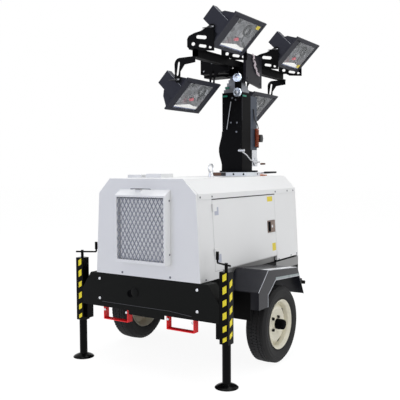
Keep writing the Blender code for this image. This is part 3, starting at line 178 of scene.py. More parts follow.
@dataclass(frozen=True)
class Coating:
    """A hard film on sheet steel: baked powder coat, enamel, paint or adhesive tape.

    It gives the eye an even colour with soft reflections. The waves of its orange peel are 2 to 4 mm across, as on
    the real film. Clouds of a slightly duller tone, some 0.45 m across, stand for dust and handling.
    """

    name: str
    colour: str
    roughness: float = 0.35
    peel_mm: float = 4.0
    peel_depth: float = 0.04
    shade: float = 0.94
    gloss: float = 0.5

    IOR: ClassVar[float] = 1.5
    PEEL_HEIGHT: ClassVar[float] = 0.2 * MM
    CLOUDS_PER_METRE: ClassVar[float] = 2.2
    SMOOTHER: ClassVar[float] = 0.04
    ROUGHER: ClassVar[float] = 0.08

    def material(self) -> bpy.types.Material:
        """Make the material.

        Returns:
            The material.
        """
        material, shader, place = shader_of(self.name)
        tree = material.node_tree
        clouds = add_node(tree, "ShaderNodeTexNoise",
                          {"Scale": self.CLOUDS_PER_METRE, "Detail": 3.0, "Roughness": 0.5}, {"Vector": place})
        base = linear(self.colour)
        dull = tuple(c * self.shade for c in base[:3]) + (1.0,)
        tint = add_node(tree, "ShaderNodeMix", {"data_type": "RGBA", 6: base, 7: dull}, {0: clouds.outputs["Fac"]})
        spread = add_node(tree, "ShaderNodeMapRange",
                          {"To Min": self.roughness - self.SMOOTHER, "To Max": self.roughness + self.ROUGHER},
                          {"Value": clouds.outputs["Fac"]})
        peel = add_node(tree, "ShaderNodeTexNoise", {"Scale": 1 / (self.peel_mm * MM), "Detail": 1.0},
                        {"Vector": place})
        bump = add_node(tree, "ShaderNodeBump", {"Strength": self.peel_depth, "Distance": self.PEEL_HEIGHT},
                        {"Height": peel.outputs["Fac"]})
        tree.links.new(tint.outputs[2], shader.inputs["Base Color"])
        tree.links.new(spread.outputs["Result"], shader.inputs["Roughness"])
        tree.links.new(bump.outputs["Normal"], shader.inputs["Normal"])
        shader.inputs["Specular IOR Level"].default_value = self.gloss
        shader.inputs["IOR"].default_value = self.IOR
        return material


@dataclass(frozen=True)
class BareMetal:
    """Bare or zinc-coated steel and aluminium.

    It gives the eye grains of slightly different brightness and a soft gloss. The grains of a zinc coat are 3 to
    14 mm across. A dent depth hammers each grain, and a glow is painted light that stands for the light many dents
    throw about.
    """

    name: str
    colour: str
    roughness: float = 0.35
    grain_mm: float = 12.0
    contrast: float = 0.18
    dent_depth: float = 0.0
    glow: float = 0.0

    SMOOTHER: ClassVar[float] = 0.06
    ROUGHER: ClassVar[float] = 0.10

    def material(self) -> bpy.types.Material:
        """Make the material.

        Returns:
            The material.
        """
        material, shader, place = shader_of(self.name)
        tree = material.node_tree
        grains = add_node(tree, "ShaderNodeTexVoronoi", {"Scale": 1 / (self.grain_mm * MM)}, {"Vector": place})
        base = linear(self.colour)
        dull = tuple(c * (1 - self.contrast) for c in base[:3]) + (1.0,)
        grey = add_node(tree, "ShaderNodeRGBToBW", None, {"Color": grains.outputs["Color"]})
        tint = add_node(tree, "ShaderNodeMix", {"data_type": "RGBA", 6: base, 7: dull}, {0: grey.outputs["Val"]})
        spread = add_node(tree, "ShaderNodeMapRange",
                          {"To Min": self.roughness - self.SMOOTHER, "To Max": self.roughness + self.ROUGHER},
                          {"Value": grey.outputs["Val"]})
        tree.links.new(tint.outputs[2], shader.inputs["Base Color"])
        tree.links.new(spread.outputs["Result"], shader.inputs["Roughness"])
        if self.dent_depth:
            bump = add_node(tree, "ShaderNodeBump", {"Strength": 1.0, "Distance": self.dent_depth},
                            {"Height": grains.outputs["Distance"]})
            tree.links.new(bump.outputs["Normal"], shader.inputs["Normal"])
        shader.inputs["Metallic"].default_value = 1.0
        if self.glow:
            tree.links.new(tint.outputs[2], shader.inputs["Emission Color"])
            shader.inputs["Emission Strength"].default_value = self.glow
        return material


@dataclass(frozen=True)
class Moulded:
    """Moulded rubber or plastic.

    It gives the eye an even colour with the fine matt grain that the mould leaves, 1 to 2 mm across, and patches
    of dust some 0.1 m across where a share of dust is given.
    """

    name: str
    colour: str
    roughness: float = 0.6
    grain_mm: float = 1.5
    depth: float = 0.15
    dust: str = "#4A4844"
    dust_share: float = 0.0

    IOR: ClassVar[float] = 1.5
    GRAIN_HEIGHT: ClassVar[float] = 0.3 * MM
    PATCHES_PER_METRE: ClassVar[float] = 9.0
    # The noise values at which dust starts and at which it has its full share
    DUST_FROM: ClassVar[float] = 0.4
    DUST_FULL: ClassVar[float] = 0.75

    def material(self) -> bpy.types.Material:
        """Make the material.

        Returns:
            The material.
        """
        material, shader, place = shader_of(self.name)
        tree = material.node_tree
        clouds = add_node(tree, "ShaderNodeTexNoise", {"Scale": self.PATCHES_PER_METRE, "Detail": 6.0},
                          {"Vector": place})
        share = add_node(tree, "ShaderNodeMapRange",
                         {"From Min": self.DUST_FROM, "From Max": self.DUST_FULL, "To Max": self.dust_share},
                         {"Value": clouds.outputs["Fac"]})
        tint = add_node(tree, "ShaderNodeMix", {"data_type": "RGBA", 6: linear(self.colour), 7: linear(self.dust)},
                        {0: share.outputs["Result"]})
        grain = add_node(tree, "ShaderNodeTexNoise", {"Scale": 1 / (self.grain_mm * MM), "Detail": 2.0},
                         {"Vector": place})
        bump = add_node(tree, "ShaderNodeBump", {"Strength": self.depth, "Distance": self.GRAIN_HEIGHT},
                        {"Height": grain.outputs["Fac"]})
        tree.links.new(tint.outputs[2], shader.inputs["Base Color"])
        tree.links.new(bump.outputs["Normal"], shader.inputs["Normal"])
        shader.inputs["Roughness"].default_value = self.roughness
        shader.inputs["IOR"].default_value = self.IOR
        return material


@dataclass(frozen=True)
class Pane:
    """Toughened float glass: clear and flat, with a sharp gloss."""

    name: str
    colour: str
    clearness: float = 0.90
    roughness: float = 0.03
    ior: float = 1.52

    def material(self) -> bpy.types.Material:
        """Make the material.

        Returns:
            The material.
        """
        material, shader, _ = shader_of(self.name)
        shader.inputs["Base Color"].default_value = linear(self.colour)
        shader.inputs["Roughness"].default_value = self.roughness
        shader.inputs["IOR"].default_value = self.ior
        shader.inputs["Alpha"].default_value = 1 - self.clearness
        return material


@dataclass(frozen=True)
class Glow:
    """A smooth surface that glows with painted light, though it is no lamp, so that it looks lit: a bulb or a
    reflector's lip.
    """

    name: str
    colour: str
    strength: float = 0.6
    roughness: float = 0.25

    def material(self) -> bpy.types.Material:
        """Make the material.

        Returns:
            The material.
        """
        material, shader, _ = shader_of(self.name)
        shader.inputs["Base Color"].default_value = linear(self.colour)
        shader.inputs["Roughness"].default_value = self.roughness
        shader.inputs["Emission Color"].default_value = linear(self.colour)
        shader.inputs["Emission Strength"].default_value = self.strength
        return material


class Finishes:
    """Every finish of the tower, each made into a material once, when it is first asked for."""

    # Polyester powder coat, sprayed and baked on sheet steel: satin, with reflections softened by its peel
    canopy_white = Coating("canopy_white_powder_coat", "#E9EAEB", 0.34)
    hood_white = Coating("grille_white_powder_coat", "#ECEDEE", 0.32)
    # Painted shade: a greyer copy of the canopy's coat, sunk in the door gaps
    gap_white = Coating("door_gap_painted_shade_coat", "#C9CACB", 0.45)
    base_white = Coating("base_plate_white_coat", "#EEF2F8", 0.30)
    cooler = Coating("cooler_white_coat", "#FFFFFF", 0.5, shade=0.98)
    mesh = Coating("expanded_mesh_coat", "#8E929D", 0.40, shade=0.92)
    sill_grey = Coating("sill_grey_coat", "#8F8F8F", 0.5)
    guard_red = Coating("guard_red_powder_coat", "#FF1A22", 0.35, shade=1.0)
    lamp_grey = Coating("lamp_grey_powder_coat", "#32333B", 0.42, peel_mm=3.0, shade=0.92, gloss=0.10)
    # The same coat in black: matt, and so dull that a fold shows only by the painted highlight along its edge
    frame_black = Coating("frame_black_powder_coat", "#0D0D0D", 0.5, shade=0.85, gloss=0.06)
    beam_black = Coating("beam_black_powder_coat", "#171817", 0.5, shade=0.9, gloss=0.06)
    mast_black = Coating("mast_black_powder_coat", "#08080A", 0.5, shade=0.85, gloss=0.06)
    # Black inside the shadows, and on small black pieces where a coat and a plastic look the same
    dark = Coating("shadow_black", "#050506", 0.8, gloss=0.05)
    # Enamel and wet paint: smoother than powder coat, so that it mirrors the light's shape
    jack_black = Coating("jack_black_enamel", "#070708", 0.20, shade=0.9, gloss=0.07)
    rim_cream = Coating("rim_cream_enamel", "#E6E2D0", 0.35, shade=0.96)
    fender_grey = Coating("fender_gloss_coat", "#1C1D24", 0.24, shade=0.9, gloss=0.25)
    plate_grey = Coating("head_plate_coat", "#1E1D24", 0.34, gloss=0.15)
    channel = Coating("channel_blue_grey_paint", "#3A4250", 0.36, shade=0.9, gloss=0.3)
    # Painted highlights: lighter copies of the coats, laid as thin bars on rounded folds and edges where the light
    # falls as a bright line
    fold_dull = Coating("painted_dim_fold_coat", "#45464C", 0.4)
    fold_shine = Coating("painted_bright_fold_coat", "#B6B9C0", 0.25)
    # Painted highlights on the fender: paler copies of its coat on its lip and along its top's outer edge, where the
    # light falls
    lip_shine = Coating("painted_highlight_lip_coat", "#8E9A9C", 0.25)
    top_shine = Coating("painted_highlight_top_coat", "#E6E8EC", 0.25)
    # Self-adhesive vinyl film: flat, saturated and a little dull
    stripe_yellow = Coating("reflective_yellow_tape", "#F2E01C", 0.4, peel_mm=2.0, shade=0.96)
    label_yellow = Coating("yellow_label_film", "#E3CE2B", 0.4, shade=0.97)
    grey_film = Moulded("pale_grey_film", "#B4B8C8", 0.45)
    # Zinc-plated and hot-dip galvanised steel: pale, with small grains on screws and wide ones on tubes
    screw_grey = BareMetal("darkened_zinc_screw", "#6F7278", 0.42, 3.0, 0.15)
    bolt_grey = BareMetal("dull_zinc_bolt", "#A2A4A8", 0.38, 4.0, 0.1)
    bright = BareMetal("zinc_plated_steel", "#D4D6DA", 0.25, 3.0, 0.08)
    section = BareMetal("galvanised_mast_tube", "#8E9197", 0.38, 14.0)
    # Cast bronze: a warm grey with a dull gleam
    brass = BareMetal("latch_bronze", "#8B7B72", 0.38, 5.0)
    # Anodised aluminium: a cool, bright ring under a thin glassy skin
    sheave_blue = BareMetal("blue_anodised_sheave", "#E0EAF6", 0.20, 6.0, 0.12)
    # Hammered aluminium sheet. The marbled patches of light that its dents throw are painted: its colour is up to 80 %
    # darker in places, and a painted glow lights it. Dents as fine as a real reflector's don't show at the picture's
    # size, so they are drawn 34 mm across.
    reflector = BareMetal("hammered_aluminium", "#C4C5C9", 0.30, 34.0, 0.80, 1.2 * MM, glow=0.14)
    # Vulcanised rubber: nearly black and matt, with dust on the tyres
    tyre = Moulded("tyre_rubber", "#0E0E10", 0.85, 1.2, 0.25, dust="#2B2A29", dust_share=0.2)
    rubber_seal = Moulded("door_seal_rubber", "#1E1F21", 0.7)
    # Injection-moulded plastic and cable sheath: satin, with colour all the way through
    plastic = Moulded("black_plastic", "#131315", 0.45)
    green_band = Moulded("green_plastic", "#23856F", 0.45)
    knob_brown = Moulded("brown_plastic", "#6A4A38", 0.5)
    orange_tab = Moulded("orange_lever_tab", "#D9722A", 0.5)
    orange_lead = Moulded("orange_brown_lead", "#8E3B1C", 0.5)
    loom_pink = Moulded("pink_grey_loom_sleeve", "#D5C8CF", 0.5)
    # Glass, and the surfaces behind it that glow with painted light: the bulb faintly, its end in red, and a painted
    # highlight and a blue glow on the reflector's lip
    glass = Pane("lamp_glass", "#F1F5F8")
    bulb = Glow("bulb_glass", "#A9A9AB", 0.05)
    bulb_end = Glow("bulb_red_end", "#D8475A", 0.25)
    lip_white = Glow("painted_highlight_on_reflector_lip", "#F3F2EE", 0.30)
    lip_blue = Glow("painted_blue_glow_on_reflector_lip", "#5E6FA8", 0.10)

    _made: ClassVar[dict[str, bpy.types.Material]] = {}

    @classmethod
    def get(cls, name: str) -> bpy.types.Material:
        """The material of a finish.

        Args:
            name: the finish's name in this class.

        Returns:
            The material, made once.
        """
        if name not in cls._made:
            cls._made[name] = getattr(cls, name).material()
        return cls._made[name]


# Shapes


def arc(centre: Point, radius: float, start: float, end: float, steps: int) -> list[tuple[float, float]]:
    """Points on an arc.

    Args:
        centre: the arc's centre.
        radius: its radius.
        start: its first angle in degrees.
        end: its last angle in degrees.
        steps: how many equal steps it has.

    Returns:
        One pair of coordinates more than there are steps.
    """
    turns = [math.radians(start + (end - start) * i / steps) for i in range(steps + 1)]
    return [(centre[0] + radius * math.cos(a), centre[1] + radius * math.sin(a)) for a in turns]


def smooth_path(points: Sequence[Point], steps: int = 6) -> list[Vector]:
    """Run a smooth curve through points.

    Args:
        points: the points that it passes.
        steps: how many pieces each stretch between two points gets.

    Returns:
        The finer points, with both ends kept.
    """
    knots = [Vector(p) for p in points]
    knots = [knots[0] * 2 - knots[1]] + knots + [knots[-1] * 2 - knots[-2]]
    path = []
    for a, b, c, d in zip(knots, knots[1:], knots[2:], knots[3:]):
        for i in range(steps):
            t = i / steps
            path.append(0.5 * (2 * b + (c - a) * t + (2 * a - 5 * b + 4 * c - d) * t * t
                               + (3 * b - a - 3 * c + d) * t ** 3))
    return path + [knots[-2]]


class Shape:
    """Geometry in the making, in metres, with Y counted from the canopy's front face."""

    # The outline of a domed head, as shares of its radius and its height
    DOME = ((1.0, 0.35), (0.82, 0.8), (0.4, 1.0), (0.0, 1.0))

    def __init__(self) -> None:
        """Start with nothing in it."""
        self.bm = bmesh.new()

    def block(self, low: Point, high: Point) -> Shape:
        """Add a block.

        Args:
            low: its lowest corner.
            high: its highest corner.

        Returns:
            This shape.
        """
        size = [b - a for a, b in zip(low, high)]
        centre = [(a + b) / 2 for a, b in zip(low, high)]
        place = Matrix.Translation(centre) @ Matrix.Diagonal((*size, 1))
        bmesh.ops.create_cube(self.bm, size=1, matrix=place)
        return self

    def blocks(self, rows: Sequence[tuple[Point, Point]]) -> Shape:
        """Add several blocks.

        Args:
            rows: the lowest and the highest corner of each.

        Returns:
            This shape.
        """
        for low, high in rows:
            self.block(low, high)
        return self

    def bar(self, start: Point, end: Point, radius: float, sides: int = 20,
            end_radius: float | None = None) -> Shape:
        """Add a round bar or a cone between two points.

        Args:
            start: the middle of its first end.
            end: the middle of its other end.
            radius: the first end's radius.
            sides: how many flats it has.
            end_radius: the other end's radius, when it is another one.

        Returns:
            This shape.
        """
        first, last = Vector(start), Vector(end)
        turn = (last - first).to_track_quat("Z", "Y").to_matrix().to_4x4()
        place = Matrix.Translation((first + last) / 2) @ turn
        bmesh.ops.create_cone(self.bm, cap_ends=True, segments=sides, radius1=radius,
                              radius2=radius if end_radius is None else end_radius,
                              depth=(last - first).length, matrix=place)
        return self

    def lathe(self, profile: Sequence[Point], centre: Point, axis: Vector | Point, sides: int = 48) -> Shape:
        """Add a turned solid.

        Args:
            profile: pairs of radius and height along the axis. A radius of 0 closes an end.
            centre: where height 0 is.
            axis: the direction of its axis.
            sides: how many steps the turn has.

        Returns:
            This shape.
        """
        place = Matrix.Translation(centre) @ Vector(axis).to_track_quat("Z", "Y").to_matrix().to_4x4()
        rings = []
        for radius, height in profile:
            if radius == 0:
                rings.append([self.bm.verts.new(place @ Vector((0, 0, height)))])
            else:
                rings.append([self.bm.verts.new(place @ Vector((x, y, height)))
                              for x, y in arc((0, 0), radius, 0, 360 - 360 / sides, sides - 1)])
        for one, two in zip(rings, rings[1:]):
            for i in range(sides):
                j = (i + 1) % sides
                corners = [one[i % len(one)], one[j % len(one)], two[j % len(two)], two[i % len(two)]]
                corners = list(dict.fromkeys(corners))
                if len(corners) > 2:
                    self.bm.faces.new(corners)
        return self

    def plate(self, axis: Axis, low: float, high: float, *loops: Sequence[Point]) -> Shape:
        """Add a flat outline with holes, pushed along an axis.

        Args:
            axis: the axis that it is pushed along.
            low: where it starts along the axis.
            high: where it ends.
            loops: the outline, then its holes, as (y, z) or (x, z) points.

        Returns:
            This shape.
        """
        turn = axis.turn
        flat = bmesh.new()
        edges = []
        for loop in loops:
            ring = [flat.verts.new(turn @ Vector((u, v, low))) for u, v in loop]
            edges += [flat.edges.new((a, b)) for a, b in zip(ring, ring[1:] + ring[:1])]
        filled = bmesh.ops.triangle_fill(flat, use_beauty=True, use_dissolve=False, edges=edges)
        faces = [f for f in filled["geom"] if isinstance(f, bmesh.types.BMFace)]
        pushed = bmesh.ops.extrude_face_region(flat, geom=faces)["geom"]
        along = turn @ Vector((0, 0, high - low))
        bmesh.ops.translate(flat, vec=along, verts=[v for v in pushed if isinstance(v, bmesh.types.BMVert)])
        self.take(flat)
        return self

    def tube(self, points: Sequence[Point], radius: float | Sequence[float], sides: int = 10) -> Shape:
        """Add a round bar along a path.

        Args:
            points: the path.
            radius: its radius, or one radius for each point.
            sides: how many flats it has.

        Returns:
            This shape.
        """
        path = [Vector(p) for p in points]
        radii = [radius] * len(path) if isinstance(radius, float) else list(radius)
        ways = [(b - a).normalized() for a, b in zip(path, path[1:])]
        ways = [ways[0]] + [(a + b).normalized() for a, b in zip(ways, ways[1:])] + [ways[-1]]
        side = ways[0].orthogonal().normalized()
        rings = []
        for place, way, size in zip(path, ways, radii):
            side = (side - way * side.dot(way)).normalized()
            other = way.cross(side)
            rings.append([self.bm.verts.new(place + side * x + other * y)
                          for x, y in arc((0, 0), size, 0, 360 - 360 / sides, sides - 1)])
        for one, two in zip(rings, rings[1:]):
            for i in range(sides):
                j = (i + 1) % sides
                self.bm.faces.new((one[i], one[j], two[j], two[i]))
        self.bm.faces.new(rings[0][::-1])
        self.bm.faces.new(rings[-1])
        return self

    def head(self, place: Point, way: Point, radius: float, height: float) -> Shape:
        """Add a domed screw or bolt head.

        Args:
            place: the middle of its seat.
            way: the way that it faces.
            radius: its radius.
            height: how far it stands off its seat.

        Returns:
            This shape.
        """
        profile = ((0.0, -SHANK), (radius, -SHANK), *((radius * wide, height * high) for wide, high in self.DOME))
        return self.lathe(profile, place, way, 16)

    def strap(self, start: Point, end: Point, width: float, low: float, high: float) -> Shape:
        """Add a flat strap that lies across Y.

        Args:
            start: x and z of its first end.
            end: x and z of its other end.
            width: its width.
            low: its lowest y.
            high: its highest y.

        Returns:
            This shape.
        """
        run = Vector((end[0] - start[0], end[1] - start[1]))
        off = Vector((-run.y, run.x)).normalized() * width / 2
        corners = [(start[0] + off.x, start[1] + off.y), (start[0] - off.x, start[1] - off.y),
                   (end[0] - off.x, end[1] - off.y), (end[0] + off.x, end[1] + off.y)]
        rows = [[self.bm.verts.new((x, y, z)) for x, z in corners] for y in (low, high)]
        self.bm.faces.new(rows[0])
        self.bm.faces.new(rows[1][::-1])
        for i in range(4):
            j = (i + 1) % 4
            self.bm.faces.new((rows[0][i], rows[1][i], rows[1][j], rows[0][j]))
        return self

    def take(self, other: bmesh.types.BMesh) -> Shape:
        """Add another mesh's geometry and free it.

        Args:
            other: the mesh.

        Returns:
            This shape.
        """
        mesh = bpy.data.meshes.new("taken")
        other.to_mesh(mesh)
        other.free()
        self.bm.from_mesh(mesh)
        bpy.data.meshes.remove(mesh)
        return self

    def move(self, place: Matrix) -> Shape:
        """Move everything in it.

        Args:
            place: the matrix that moves it.

        Returns:
            This shape.
        """
        self.bm.transform(place)
        return self


class Tower:
    """The loaded CAD model, and the ways to hang visual pieces on its bodies."""

    def __init__(self) -> None:
        """Load the CAD and note where its canopy starts."""
        self.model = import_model()
        record = self.model["record"]
        self.bodies = {node: body for body, nodes in record["behaviour"]["bodies"].items() for node in nodes}
        self.slots = {row["node"]: row["material_slot"] for row in record["subparts"]}
        self.front_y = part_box("canopy_front")[0].y
        self.shown: list[str] = []

    def box(self, node: str) -> tuple[Vector, Vector]:
        """The two corners of a CAD node, with Y counted from the canopy's front face.

        Args:
            node: the node's name.

        Returns:
            Its lowest and highest corner.
        """
        low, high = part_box(node)
        shift = Vector((0, self.front_y, 0))
        return low - shift, high - shift

    def hang(self, thing: bpy.types.Object, finish: str, node: str) -> bpy.types.Object:
        """Give a piece its finish and let it ride with a CAD node's body.

        Args:
            thing: the piece.
            finish: a name in Finishes.
            node: the CAD node that it belongs to.

        Returns:
            The piece.
        """
        thing.data.materials.clear()
        thing.data.materials.append(Finishes.get(finish))
        bpy.context.scene.collection.objects.link(thing)
        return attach(thing, self.bodies[node])

    def put(self, name: str, shape: Shape, finish: str, node: str, *, bevel: float = 0.0, segments: int = 2,
            angle: float = 32.0, slot: str | None = None, replaces: Sequence[str] = (),
            split: bool = False) -> bpy.types.Object:
        """Make a piece of a shape.

        Args:
            name: the piece's name.
            shape: its geometry, which is used up.
            finish: a name in Finishes.
            node: the CAD node that it belongs to.
            bevel: the width of its rounded edges in metres.
            segments: how many steps a rounded edge has.
            angle: edges sharper than this, in degrees, stay sharp or get the bevel.
            slot: its material slot, when that isn't the node's; not used.
            replaces: the CAD nodes that it is shown instead of.
            split: whether its flat faces are cut into triangles, as an open end needs that turns.

        Returns:
            The piece.
        """
        bm = shape.bm
        bmesh.ops.translate(bm, vec=(0, self.front_y, 0), verts=bm.verts)
        bmesh.ops.remove_doubles(bm, verts=bm.verts, dist=SAME_PLACE)
        bmesh.ops.dissolve_limit(bm, angle_limit=math.radians(SAME_WAY), verts=bm.verts, edges=bm.edges)
        if split:
            bmesh.ops.triangulate(bm, faces=bm.faces)
        bmesh.ops.recalc_face_normals(bm, faces=bm.faces)
        for face in bm.faces:
            face.smooth = True
        limit = math.radians(angle)
        for edge in bm.edges:
            edge.smooth = len(edge.link_faces) == 2 and edge.calc_face_angle(0.0) < limit
        mesh = bpy.data.meshes.new(name)
        bm.to_mesh(mesh)
        bm.free()
        thing = bpy.data.objects.new(name, mesh)
        if bevel:
            edge = thing.modifiers.new("Rounding", "BEVEL")
            edge.width = bevel
            edge.segments = segments
            edge.limit_method = "ANGLE"
            edge.angle_limit = limit
            edge.harden_normals = True
        self.hang(thing, finish, node)
        if replaces:
            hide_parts(*replaces)
        self.shown.append(f"{name}: {finish}, on {self.bodies[node]}")
        return thing

    def adopt(self, node: str, finish: str, bevel: float = 0.0012, segments: int = 2,
              split: bool = False) -> bpy.types.Object:
        """Show a clean copy of a CAD node, with rounded edges and its real finish.

        Args:
            node: the node's name.
            finish: a name in Finishes.
            bevel: the width of its rounded edges in metres.
            segments: how many steps a rounded edge has.
            split: whether its flat faces are cut into triangles.

        Returns:
            The piece, named after the node.
        """
        shape = Shape()
        shape.bm.from_mesh(self.model["nodes"][node].data)
        bmesh.ops.translate(shape.bm, vec=(0, -self.front_y, 0), verts=shape.bm.verts)
        return self.put(f"{node}_look", shape, finish, node, bevel=bevel, segments=segments, replaces=(node,),
                        split=split)


@dataclass(frozen=True)
class Part:
    """A sub-assembly of the tower. Its sizes are its fields, in metres."""

    tower: Tower


# Body, chassis and wheels


@dataclass(frozen=True)
class Canopy(Part):
    """The sheet-steel canopy: its panels, doors, the painted shade in the door gaps and the top seal, latches, screws
    and blank labels.
    """

    half_width: float = 0.42
    length: float = 1.42
    foot_z: float = 0.615
    slope: float = 0.031 / 0.539
    panels: tuple[str, ...] = ("canopy_front", "canopy_rear", "canopy_side_l", "canopy_side_r", "canopy_roof",
                               "door_l", "door_r")
    # columns: y, z. The screws above eaves_z sit on the roof's skirt, eaves_proud of the panel.
    side_screws: Table = ((0.042, 1.136), (0.178, 1.136), (1.061, 1.136), (1.266, 1.136), (1.370, 1.136),
                          (0.064, 0.629), (1.075, 0.632), (1.286, 0.636), (1.388, 0.640))
    eaves_z: float = 1.0
    eaves_proud: float = 0.0034
    # columns: x, z
    end_screws: Table = ((-0.194, 0.633), (0.194, 0.633))
    side_screw_radius: float = 0.0065
    end_screw_radius: float = 0.0075
    screw_height: float = 0.003
    # The gaps round a door, with columns: lowest y, lowest z, highest y, highest z, finish. The greyer strips are
    # painted shade in the gaps; the top one is a dark rubber seal
    seals: Table = (
        (0.1765, 0.662, 0.1825, 1.116, "gap_white"), (1.0445, 0.662, 1.0505, 1.116, "gap_white"),
        (0.1765, 0.6610, 1.0505, 0.6675, "gap_white"), (0.1765, 1.1152, 1.0505, 1.1240, "rubber_seal"),
    )
    seal_back: float = -0.010
    seal_proud: float = 0.0012
    # Blank labels on a door, with columns: lowest y, lowest z, highest y, highest z, finish
    labels: Table = (
        (0.204, 1.016, 0.250, 1.066, "grey_film"), (0.212, 0.716, 0.258, 0.768, "grey_film"),
        (0.930, 1.068, 1.012, 1.104, "label_yellow"), (0.978, 0.704, 1.034, 0.760, "label_yellow"),
    )
    film_back: float = 0.0001
    film_face: float = 0.0006
    # Parts of a latch, with columns: lowest y, lowest z, highest y, highest z, proud of the door, finish
    latch_parts: Table = (
        (0.9175, 0.8415, 1.0345, 0.9285, 0.0030, "brass"), (0.9235, 0.8480, 0.9640, 0.9220, 0.0036, "dark"),
        (0.9690, 0.8500, 1.0280, 0.9200, 0.0042, "brass"),
    )
    latch_back: float = -0.006
    # The lock's barrel: its seat, its radius and its height
    lock: tuple[Point, float, float] = ((0.0040, 0.985, 0.885), 0.011, 0.0035)

    def build(self) -> None:
        """Show the canopy."""
        for node in self.panels:
            self.tower.adopt(node, "canopy_white", bevel=0.0015)
        for side in Side:
            self._side(side)
        for node, y, way in (("canopy_front", 0, -1), ("canopy_rear", self.length, 1)):
            screws = Shape()
            for x, z in self.end_screws:
                screws.head((x, y, z), (0, way, 0), self.end_screw_radius, self.screw_height)
            self.tower.put(f"{node}_screws", screws, "screw_grey", node, slot="steel_zinc")
        self.tower.adopt("lifting_eye", "bright", bevel=0.0006)
        self.tower.adopt("power_unit", "dark", bevel=0.004)

    def lean(self, side: Side) -> Matrix:
        """The matrix that lays flat work onto a leaning side.

        Args:
            side: left or right.

        Returns:
            A shear that takes x = 0 to the side's outer face, with positive x outwards.
        """
        sign = side.sign
        across = sign * (self.half_width + self.slope * self.foot_z)
        return Matrix(((sign, 0, -sign * self.slope, across),
                       (0, 1, 0, 0), (0, 0, 1, 0), (0, 0, 0, 1)))

    def _side(self, side: Side) -> None:
        """The painted shade in the door gaps and the top seal, the screws, latch and labels of one side.

        Args:
            side: left or right.
        """
        letter, place = side.letter, self.lean(side)
        panel, door = f"canopy_side_{letter}", f"door_{letter}"
        for i, (y_low, z_low, y_high, z_high, finish) in enumerate(self.seals):
            proud = self.seal_proud if finish == "rubber_seal" else -self.seal_proud
            strip = Shape().block((self.seal_back, y_low, z_low), (proud, y_high, z_high)).move(place)
            self.tower.put(f"door_gap_{letter}_{i}", strip, finish, panel)
        screws = Shape()
        for y, z in self.side_screws:
            proud = self.eaves_proud if z > self.eaves_z else 0.0
            screws.head((proud, y, z), (1, 0, 0), self.side_screw_radius, self.screw_height)
        self.tower.put(f"side_screws_{letter}", screws.move(place), "screw_grey", panel, slot="steel_zinc")
        for i, (y_low, z_low, y_high, z_high, finish) in enumerate(self.labels):
            film = Shape().block((self.film_back, y_low, z_low), (self.film_face, y_high, z_high)).move(place)
            self.tower.put(f"door_label_{letter}_{i}", film, finish, door)
        for i, (y_low, z_low, y_high, z_high, proud, finish) in enumerate(self.latch_parts):
            part = Shape().block((self.latch_back, y_low, z_low), (proud, y_high, z_high)).move(place)
            name = f"door_latch_{letter}"
            self.tower.put(f"{name}_part_{i}", part, finish, name, bevel=0.0012,
                           replaces=(name,) if i == 0 else ())
        seat, radius, height = self.lock
        barrel = Shape().head(seat, (1, 0, 0), radius, height).move(place)
        self.tower.put(f"door_lock_{letter}", barrel, "bright", f"door_latch_{letter}", slot="steel_zinc")


